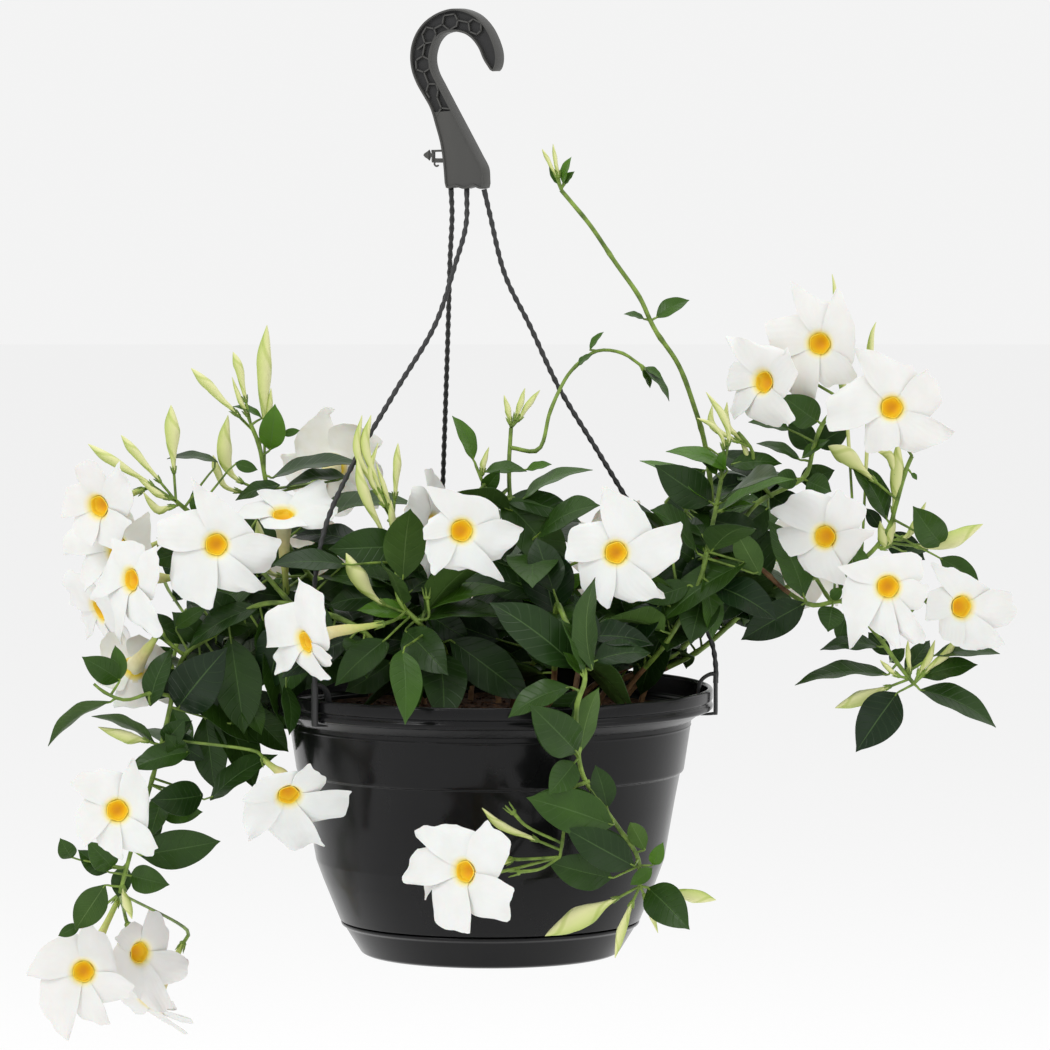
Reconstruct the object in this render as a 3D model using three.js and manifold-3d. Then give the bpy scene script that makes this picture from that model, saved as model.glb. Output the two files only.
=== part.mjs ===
// A white mandevilla in a hanging pot, as it hangs from its hook.
// Millimetres, +Z up. The origin is the point of the hook that bears on a rail or bracket.
import * as THREE from 'three';
import { mergeVertices } from 'three/addons/utils/BufferGeometryUtils.js';
import Module from 'manifold-3d';

const wasm = await Module();
wasm.setup();

// Driving dimensions of the pot, its saucer and its soil
const rimRadius = 135;
const potHeight = 158.5;
const potAxisX = 20;
const rimTopZ = -396;
const soilDepth = 14;
const roundSteps = 32;
const seat = 0.35;

// Driving dimensions of the hanger
const hookThickness = 10;
const hookTurn = THREE.MathUtils.degToRad(27);
const strandRadius = 1.9;
const clipAngles = { right: -8, back: 103, left: 221 };
const clip = {
  gap: 0.6, footZ: -15.5, shoulderZ: 14, bite: 7, tongueRadius: 1.8, toeRadius: 1.6, toeEnd: 1.2,
};

// Driving dimensions of the plant
const mouthRadius = 7;
const funnelLength = 21;
const trumpetLength = 44;
const wilted = { funnel: 14, trumpet: 26, throat: 9 };
const throatRise = 4;
const lipThickness = 0.8;
const neckRadius = 3.2;
const tubeRadius = 1.7;
const petalReach = 38;
const petalNotch = 0.57;
const caneRadius = 1.8;
const holeRadius = 3.8;
const rootDepth = 20;
const caneStep = 30;
const twigRadius = 1.3;
const stalkRadius = 0.9;
const shortestStalk = 4;
const calyxRadius = 2;
const calyxForward = 6;
const pairSpacing = 26;
const leafSwings = [0, 0.5, -0.5, 1, -1];
const bladeThickness = 1.5;
const leafSlenderness = 0.5;
const leafArch = 0.08;
const steepestLean = 0.9;
const steepestRoll = 1.25;
const usualWidth = 0.92;
const widest = { low: 0.27, lowWidth: 0.9, high: 0.62, highWidth: 0.88 };
const fillerStalk = 7;
const fillerLength = 50;
const fillerExtra = 14;
const clearance = 0.3;
const shortestEdge = 0.25;

// Where the parts of the plant stand is written as a pixel of the picture and a depth in millimetres.
const picture = { size: 1050, scale: 0.605, distance: 4500, pitch: THREE.MathUtils.degToRad(4.3) };
const aim = new THREE.Vector3(41.1, 0, -297.9);
const gaze = new THREE.Vector3(0, Math.cos(picture.pitch), -Math.sin(picture.pitch));
const lift = new THREE.Vector3(0, Math.sin(picture.pitch), Math.cos(picture.pitch));
const eye = aim.clone().addScaledVector(gaze, -picture.distance);
const up = new THREE.Vector3(0, 0, 1);

const point = (x, y, z) => new THREE.Vector3(x, y, z);

// The point of a pixel's sight line that lies at a given depth
function seen(px, py, depth) {
  const toMm = picture.scale / picture.distance;
  const ray = gaze.clone().addScaledVector(lift, (picture.size / 2 - py) * toMm);
  ray.x += (px - picture.size / 2) * toMm;
  return eye.clone().addScaledVector(ray, (depth - eye.y) / ray.y);
}

// The pixel at which a point shows
function pixelOf(place) {
  const ray = place.clone().sub(eye);
  const toPixels = picture.distance / picture.scale / ray.dot(gaze);
  return [picture.size / 2 + ray.x * toPixels, picture.size / 2 - ray.dot(lift) * toPixels];
}

// Materials
function finish(name, color, roughness) {
  return new THREE.MeshStandardMaterial({ name, color, roughness, metalness: 0 });
}
const potPlastic = finish('pot_plastic', 0x26262a, 0.35);
const hangerPlastic = finish('hanger_plastic', 0x3b3b3d, 0.6);
const soilMix = finish('soil', 0x2a1c14, 0.95);
const petal = finish('petal', 0xf6f5f2, 0.6);
const leafGreen = finish('leaf', 0x1f3d1c, 0.45);

const group = new THREE.Group();
const placed = [];

// Solids, meshes and the sub-parts that are already placed
function solidOf(geometry) {
  const bare = geometry.clone();
  bare.deleteAttribute('normal');
  bare.deleteAttribute('uv');
  const merged = mergeVertices(bare, 1e-4);
  const index = merged.index.array;
  const faces = [];
  for (let i = 0; i < index.length; i += 3) {
    const [a, b, c] = index.slice(i, i + 3);
    if (a !== b && b !== c && c !== a) faces.push(a, b, c);
  }
  const vertProperties = new Float32Array(merged.attributes.position.array);
  return new wasm.Manifold(new wasm.Mesh({ numProp: 3, vertProperties, triVerts: new Uint32Array(faces) }));
}

function geometryOf(solid) {
  const mesh = solid.getMesh();
  const position = new Float32Array(mesh.numVert * 3);
  for (let i = 0; i < mesh.numVert; i++) {
    position.set(mesh.vertProperties.subarray(i * mesh.numProp, i * mesh.numProp + 3), i * 3);
  }
  const geometry = new THREE.BufferGeometry();
  geometry.setAttribute('position', new THREE.BufferAttribute(position, 3));
  geometry.setIndex(new THREE.BufferAttribute(new Uint32Array(mesh.triVerts), 1));
  geometry.computeVertexNormals();
  return geometry;
}

const joined = (solids) => solids.reduce((sum, solid) => sum.add(solid));

// The one body that is left when loose scraps and sealed hollows are dropped
function largest(solid) {
  return solid.decompose().reduce((best, body) => (body.volume() > best.volume() ? body : best));
}

function boxOf(geometry) {
  geometry.computeBoundingBox();
  return geometry.boundingBox;
}

function keepClearOf(name, solid, geometry = geometryOf(solid)) {
  placed.push({ name, solid, box: boxOf(geometry) });
}

function place(name, solid, material) {
  const geometry = geometryOf(solid);
  const mesh = new THREE.Mesh(geometry, material);
  mesh.name = name;
  group.add(mesh);
  keepClearOf(name, solid, geometry);
}

// True where a shape, drawn a little fat, stays clear of all that is placed apart from its own stem
function isClear(geometry, ownName) {
  const box = boxOf(geometry);
  const near = placed.filter((other) => other.name !== ownName && other.box.intersectsBox(box));
  if (near.length === 0) return true;
  const solid = solidOf(geometry);
  return near.every((other) => other.solid.intersect(solid).isEmpty());
}

// The faces between two rings. Where the counts differ, one is a whole multiple of the other.
// The diagonals mirror each other from side to side, so both faces of a thin blade are split alike.
function band(start, count, nextStart, nextCount) {
  const many = Math.max(count, nextCount);
  const faces = [];
  for (let s = 0; s < many; s++) {
    const a = start + Math.floor((s * count) / many);
    const b = start + (Math.floor(((s + 1) * count) / many) % count);
    const c = nextStart + (Math.floor(((s + 1) * nextCount) / many) % nextCount);
    const d = nextStart + Math.floor((s * nextCount) / many);
    if (s % 2) faces.push([a, b, d], [b, c, d]);
    else faces.push([a, b, c], [a, c, d]);
  }
  return faces.filter(([a, b, c]) => a !== b && b !== c && c !== a).flat();
}

// A closed skin over rings of points. A ring of one point closes to a tip.
function skin(rings) {
  const points = [];
  const starts = rings.map((ring) => points.push(...ring) - ring.length);
  const faces = rings.slice(1).flatMap((ring, r) => {
    return band(starts[r], rings[r].length, starts[r + 1], ring.length);
  });
  const close = (start, sides, turned) => {
    for (let s = 1; s + 1 < sides; s++) {
      faces.push(start, start + (turned ? s + 1 : s), start + (turned ? s : s + 1));
    }
  };
  close(starts[0], rings[0].length, true);
  close(starts.at(-1), rings.at(-1).length, false);
  const geometry = new THREE.BufferGeometry();
  const flat = points.flatMap((p) => [p.x, p.y, p.z]);
  geometry.setAttribute('position', new THREE.Float32BufferAttribute(flat, 3));
  geometry.setIndex(faces);
  return geometry;
}

// A tube along a smooth curve, whose radius follows a list from its start to its end
function tube(points, radii, sides, steps = radii.length - 1) {
  const curve = new THREE.CatmullRomCurve3(points, false, 'centripetal');
  const frames = curve.computeFrenetFrames(steps, false);
  const rings = [];
  for (let i = 0; i <= steps; i++) {
    const centre = curve.getPointAt(i / steps);
    const step = (i / steps) * (radii.length - 1);
    const low = Math.min(Math.floor(step), radii.length - 2);
    const radius = THREE.MathUtils.lerp(radii[low], radii[low + 1], step - low);
    const ring = [];
    for (let s = 0; s < (radius > 0 ? sides : 1); s++) {
      const angle = (s / sides) * 2 * Math.PI;
      const spoke = frames.normals[i].clone().multiplyScalar(Math.cos(angle) * radius);
      ring.push(spoke.addScaledVector(frames.binormals[i], Math.sin(angle) * radius).add(centre));
    }
    rings.push(ring);
  }
  return skin(rings);
}

// Pot, saucer and soil, turned round the pot's axis
function turned(profile, steps = roundSteps) {
  const outline = [...profile, profile[0]].map(([r, z]) => new THREE.Vector2(r, z));
  return new THREE.LatheGeometry(outline, steps).rotateX(Math.PI / 2).translate(potAxisX, 0, rimTopZ);
}

function makePot() {
  const outside = [
    [0, -potHeight], [76, -potHeight], [84.5, -141.5], [91, -141.2], [101, -117], [105.6, -104.6],
    [112, -68], [115.3, -51], [117.3, -50], [121, -23], [123.5, -13.5], [rimRadius, -12], [rimRadius, 0],
  ];
  const inside = [
    [131.8, 0], [131.8, -12.5], [118.6, -23], [103.2, -104], [88.6, -139.2], [82.3, -141], [74, -156],
    [0, -156],
  ];
  place('pot', solidOf(turned([...outside, ...inside])), potPlastic);
}

function makeSaucer() {
  const floor = -potHeight - seat;
  place('drip_saucer', solidOf(turned([
    [0, floor - 3.2], [78.4, floor - 3.2], [88.4, -144.6], [90.4, -141.2 - 1.2], [90.4, -141.5 - seat],
    [84.5 + seat * 2, -141.5 - seat], [76 + seat * 2, floor], [0, floor],
  ])), potPlastic);
}

function makeSoil(roots) {
  const body = turned([
    [0, -155.6], [73.5, -155.6], [81.8, -141.4], [88.1, -139.5], [102.6, -104.1], [118, -23.1],
    [124.6, -soilDepth - 3], [0, -soilDepth],
  ]);
  const hole = (root) => {
    const length = rootDepth * 2;
    const plug = new THREE.CylinderGeometry(holeRadius, holeRadius, length, 6).rotateX(Math.PI / 2);
    const floor = rimTopZ - soilDepth - rootDepth - seat;
    return solidOf(plug.translate(root[0], root[1], floor + length / 2));
  };
  place('soil', roots.reduce((soil, root) => soil.subtract(hole(root)), solidOf(body)), soilMix);
}

// Hanger: a flat hook, turned on the upright, and three strands with a clip over the rim
const hookOuter = [
  [443.8, 141.7], [439.6, 126.3], [434, 108], [427, 95.4], [420.6, 84.2], [415.7, 71.6], [413.9, 58.9],
  [415, 46.3], [419.2, 34.4], [427, 23.2], [438.2, 14.7], [449.1, 10.1], [458, 8.7], [467.6, 10.1],
  [479, 15.4], [488.8, 25.3], [495.8, 37.9], [500.2, 51.9], [500.4, 62], [498.6, 68.2], [496.4, 70.9],
];
const hookInner = [
  [493.6, 69.4], [487, 58.9], [482.2, 47.7], [475.4, 38.6], [468.3, 33.7], [457, 31.6], [445.2, 34.4],
  [438.5, 41.4], [434.9, 50.5], [433.8, 60.3], [436.2, 71.6], [442.5, 84.2],
];
const hookFoot = [
  [486, 167], [487, 178.2], [486.6, 187], [482, 187.5], [476.5, 184], [471, 187.5], [464, 187.5],
  [459, 185], [454, 187.5], [448.6, 187.5], [446.4, 158.6],
];
const labelStud = [[447, 150], [433, 151], [430, 155], [424, 149], [424, 166], [430, 160], [447, 162]];
const hookPixel = { x: 457, y: 31.6 };
const rootPixels = { left: 467, back: 451.2, right: 484.2 };
const strandTopPixel = 188.5;

function hookPlane(px, py) {
  return [((px - hookPixel.x) * picture.scale) / Math.cos(hookTurn), (hookPixel.y - py) * picture.scale];
}

function flatPlate(pixels, thickness) {
  const shape = new THREE.Shape(pixels.map(([px, py]) => new THREE.Vector2(...hookPlane(px, py))));
  const plate = new THREE.ExtrudeGeometry(shape, { depth: thickness, bevelEnabled: false });
  return plate.translate(0, 0, -thickness / 2).rotateX(Math.PI / 2).rotateZ(-hookTurn);
}

function makeHook() {
  const plate = solidOf(flatPlate([...hookOuter, ...hookInner, ...hookFoot], hookThickness));
  place('hanger_hook', plate.add(solidOf(flatPlate(labelStud, 3))), hangerPlastic);
}

const strandRoutes = {
  left: [[466, 225], [455, 265], [435, 325], [395, 392], [350, 470], [325, 528], [314, 590], [311, 660]],
  right: [[490, 215], [505, 275], [530, 326], [558.6, 387], [597, 450], [640, 520], [686, 590], [711, 640]],
  back: [[452, 215], [450, 260], [448, 330], [445, 420], [443, 480], [441, 570], [440.5, 650]],
};

function onRim(angle, radius, z) {
  const turn = THREE.MathUtils.degToRad(angle);
  return point(potAxisX + Math.cos(turn) * radius, Math.sin(turn) * radius, rimTopZ + z);
}

function makeStrand(side) {
  const angle = clipAngles[side];
  const legRadius = rimRadius + strandRadius + clip.gap;
  const biteRadius = rimRadius - clip.bite;
  const [rootX, rootZ] = hookPlane(rootPixels[side], strandTopPixel);
  const root = point(rootX * Math.cos(hookTurn), -rootX * Math.sin(hookTurn), rootZ - clearance);
  const foot = onRim(angle, legRadius, clip.footZ);
  const shoulder = onRim(angle, legRadius, clip.shoulderZ);
  const along = (py) => (py - strandTopPixel) / (pixelOf(shoulder)[1] - strandTopPixel);
  const depthAt = (py) => root.y + (shoulder.y - root.y) * along(py);
  const route = strandRoutes[side].map(([px, py]) => seen(px, py, depthAt(py)));
  const strand = tube([root, ...route, shoulder, foot], [strandRadius, strandRadius], 6, 12);
  const tongue = tube([
    onRim(angle, legRadius, 10), onRim(angle, rimRadius - 1, 9), onRim(angle, biteRadius, 5),
    onRim(angle, biteRadius - 2, -5),
  ], [clip.tongueRadius, clip.tongueRadius], 6, 5);
  const toeWay = [onRim(angle, legRadius, clip.footZ + 0.9), onRim(angle, biteRadius, clip.footZ + 0.1)];
  const toe = tube(toeWay, [clip.toeRadius, clip.toeEnd], 6, 1);
  place(`hanger_strand_${side}`, joined([solidOf(strand), solidOf(tongue), solidOf(toe)]), hangerPlastic);
}

// Blooms: the mouth's pixel and depth, the way it faces (to the right, upwards) and its petals.
// A petal is its pointed corner, and its blunt one where it shows. The others are spread by a rule.
const blooms = {
  a: { at: [97, 507, -25], face: [-35, -10], cup: 10,
    petals: [[122, 460, 132, 500], [72, 466, 91, 457], [62, 517, 63, 492], [88, 537, 66, 530], [130, 522]] },
  b: { at: [216, 545, -70], face: [0, 0],
    petals: [[190, 474, 233, 506], [157, 545, 153, 520], [212, 610, 168, 592], [266, 589, 240, 594],
      [281, 540, 272, 572]] },
  c: { at: [283, 512, -38], face: [0, 62], base: [286, 592],
    petals: [[340, 508], [318, 480], [255, 492], [235, 520], [306, 526]] },
  d: { at: [129, 580, -58], face: [-48, 0], base: [182, 578],
    petals: [[157, 546, 158, 560], [112, 538, 140, 540], [92, 600, 100, 572], [118, 645, 112, 620],
      [160, 615, 175, 600]] },
  e: { at: [116, 548, -8], face: [-35, 12], base: [165, 540],
    petals: [[150, 512], [106, 506], [60, 555, 62, 520], [84, 592], [140, 585]] },
  f: { at: [96, 612, 24], face: [-65, -25],
    petals: [[107, 575], [86, 573], [62, 600, 64, 645], [82, 657], [115, 645]] },
  g: { at: [132, 670, -22], face: [-150, -35], roll: 20, reach: 31 },
  h: { at: [303, 643, -132], face: [-55, -15], base: [382, 624],
    petals: [[300, 571, 318, 587], [238, 650, 262, 625], [268, 684, 262, 662], [333, 680, 312, 668],
      [333, 655]] },
  i: { at: [335, 466, 90], face: [165, 8], roll: 10, reach: 37 },
  j: { at: [462, 531, -112], face: [10, 0],
    petals: [[424, 484, 500, 503], [423, 540, 430, 526], [433, 577, 426, 560], [506, 584, 470, 568],
      [524, 530, 508, 556]] },
  k: { at: [616, 553, -120], face: [0, 0],
    petals: [[602, 485, 640, 500], [566, 560, 566, 528], [608, 611, 580, 590], [664, 598, 640, 606],
      [686, 520, 682, 560]] },
  l: { at: [762, 382, -25], face: [-40, 5], base: [793, 362],
    petals: [[725, 335, 762, 352], [729, 392, 726, 362], [735, 420, 729, 410], [797, 421, 780, 428],
      [790, 352, 800, 372]] },
  m: { at: [819, 344, -10], face: [-12, 0],
    petals: [[790, 280, 824, 300], [771, 357, 762, 320], [812, 409, 797, 405], [858, 378, 826, 391],
      [838, 286, 857, 325]] },
  n: { at: [892, 408, -30], face: [0, 0],
    petals: [[852, 345, 907, 360], [829, 431, 824, 399], [898, 440, 862, 458], [958, 434, 922, 455],
      [929, 368, 948, 400]] },
  o: { at: [824, 537, -60], face: [-20, 0],
    petals: [[838, 489, 868, 508], [771, 512, 798, 487], [797, 553, 770, 525], [848, 586, 808, 578],
      [877, 530, 862, 545]] },
  p: { at: [888, 587, -84], face: [0, 0],
    petals: [[836, 567, 920, 547], [851, 649, 840, 600], [902, 651, 880, 640], [928, 640, 918, 648],
      [928, 588, 924, 612]] },
  q: { at: [963, 607, -48], face: [25, 0],
    petals: [[930, 563, 952, 570], [926, 620, 926, 592], [962, 634, 940, 642], [1006, 645, 990, 653],
      [1012, 592, 1020, 622]] },
  r: { at: [117, 811, -88], face: [0, 0],
    petals: [[133, 758, 150, 785], [68, 781, 100, 765], [83, 848, 72, 822], [122, 860],
      [158, 850, 150, 858]] },
  s: { at: [83, 972, -30], face: [0, 0], base: [118, 900],
    petals: [[85, 920, 110, 935], [25, 975, 45, 940], [68, 1040, 40, 1020], [110, 1025],
      [135, 985, 128, 1000]] },
  t: { at: [141, 953, -5], face: [38, 0], base: [128, 925],
    petals: [[150, 905], [127, 945], [140, 1000], [178, 1017, 160, 1015], [189, 960, 186, 985]] },
  u: { at: [150, 1006, 44], face: [-50, -55], roll: 60, reach: 34 },
  v: { at: [289, 797, -104], face: [10, -30], base: [264, 760],
    petals: [[310, 763, 330, 780], [241, 800, 262, 780], [250, 842, 240, 825], [330, 855, 290, 862],
      [352, 790, 350, 820]] },
  w: { at: [463, 872, -160], face: [-35, 0], base: [510, 860],
    petals: [[485, 822, 512, 840], [405, 825, 440, 822], [397, 885, 398, 850], [470, 935, 425, 925],
      [516, 890, 505, 925]] },
  x: { at: [441, 866, -130], face: [-60, 10], roll: 100, reach: 24, short: true },
  y: { at: [436, 526, -44], face: [60, 10], roll: 95, reach: 37, base: [400, 520] },
  back_a: { at: [300, 560, 150], face: [190, 15], roll: 80, reach: 38 },
  back_b: { at: [618, 556, 165], face: [172, 5], roll: 40, reach: 38 },
  back_c: { at: [806, 560, 168], face: [150, -5], roll: 15, reach: 37 },
  back_d: { at: [455, 640, 185], face: [185, -15], roll: 60, reach: 38 },
};

// The axes of a bloom: out of its mouth, to its right and up
function bloomAxes([yaw, pitch]) {
  const side = THREE.MathUtils.degToRad(yaw);
  const rise = THREE.MathUtils.degToRad(pitch);
  const out = point(Math.sin(side) * Math.cos(rise), -Math.cos(side) * Math.cos(rise), Math.sin(rise));
  const upward = up.clone().addScaledVector(out, -up.dot(out)).normalize();
  return { out, upward, right: upward.clone().cross(out) };
}

// A pixel's place on the disc of the petals, as an angle and a reach
function onDisc(bloom, px, py) {
  const { out, upward, right } = bloomAxes(bloom.face);
  const centre = seen(...bloom.at);
  const start = seen(px, py, 0);
  const ray = seen(px, py, 1).sub(start);
  const depth = ((bloom.cup ?? 0) - start.clone().sub(centre).dot(out)) / ray.dot(out);
  const arm = start.addScaledVector(ray, depth).sub(centre);
  const reach = THREE.MathUtils.clamp(Math.hypot(arm.dot(upward), arm.dot(right)), 24, petalReach * 1.15);
  return { angle: Math.atan2(arm.dot(upward), arm.dot(right)), reach };
}

// The outline of the petals: for each one a notch, a blunt corner and a pointed corner
function petalOutline(bloom) {
  const turn = 2 * Math.PI;
  const tips = bloom.petals
    ? bloom.petals.map(([px, py, bluntX, bluntY]) => {
      const blunt = bluntX === undefined ? null : onDisc(bloom, bluntX, bluntY);
      return { ...onDisc(bloom, px, py), blunt };
    })
    : [0, 1, 2, 3, 4].map((i) => {
      return { angle: THREE.MathUtils.degToRad(bloom.roll + i * 72), reach: bloom.reach, blunt: null };
    });
  tips.forEach((tip) => { tip.angle = (tip.angle + turn) % turn; });
  tips.sort((a, b) => a.angle - b.angle);
  return tips.flatMap((tip, i) => {
    const before = tips.at(i - 1).angle - (i === 0 ? turn : 0);
    const room = tip.angle - before;
    let bluntAngle = before + 0.44 * room;
    if (tip.blunt) {
      const given = (tip.blunt.angle - before + turn) % turn;
      bluntAngle = before + THREE.MathUtils.clamp(given, 0.32 * room, 0.72 * room);
    }
    return [
      { angle: before + 0.14 * room, reach: petalReach * petalNotch },
      { angle: bluntAngle, reach: tip.blunt ? tip.blunt.reach : tip.reach * 0.9 },
      { angle: tip.angle, reach: tip.reach },
    ];
  });
}

// Where a bloom's tube ends, and the way it points there
function bloomBase(bloom) {
  const { out } = bloomAxes(bloom.face);
  const straight = seen(...bloom.at).addScaledVector(out, -(bloom.short ? wilted.trumpet : trumpetLength));
  return bloom.base ? seen(...bloom.base, straight.y) : straight;
}

// The way in along a bloom's tube, from its mouth to its foot
function bloomInward(bloom) {
  return bloomBase(bloom).sub(seen(...bloom.at)).normalize();
}

function makeBloom(letter) {
  const bloom = blooms[letter];
  const { out, upward, right } = bloomAxes(bloom.face);
  const centre = seen(...bloom.at);
  const outline = petalOutline(bloom);
  const ring = (radiusOf, height) => outline.map(({ angle, reach }) => {
    const spread = centre.clone().addScaledVector(right, Math.cos(angle) * radiusOf(reach));
    return spread.addScaledVector(upward, Math.sin(angle) * radiusOf(reach)).addScaledVector(out, height);
  });
  const collar = (middle, radius, axis) => {
    const tilt = new THREE.Quaternion().setFromUnitVectors(out, axis);
    return [0, 1, 2, 3, 4].map((i) => {
      const angle = outline[0].angle + (i / 5) * 2 * Math.PI;
      const arm = right.clone().multiplyScalar(Math.cos(angle)).addScaledVector(upward, Math.sin(angle));
      return arm.multiplyScalar(radius).applyQuaternion(tilt).add(middle);
    });
  };
  const neck = centre.clone().addScaledVector(out, bloom.short ? -wilted.funnel : -funnelLength);
  const tubeAxis = bloomInward(bloom).negate();
  place(`bloom_${letter}`, solidOf(skin([
    collar(bloomBase(bloom), tubeRadius, tubeAxis),
    collar(neck, neckRadius, out),
    ring(() => mouthRadius + 0.9, -2),
    ring((reach) => reach, (bloom.cup ?? 0) - lipThickness),
    ring(() => mouthRadius, 0),
    [centre.clone().addScaledVector(out, bloom.short ? -wilted.throat : throatRise - funnelLength)],
  ])), petal);
}

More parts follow.
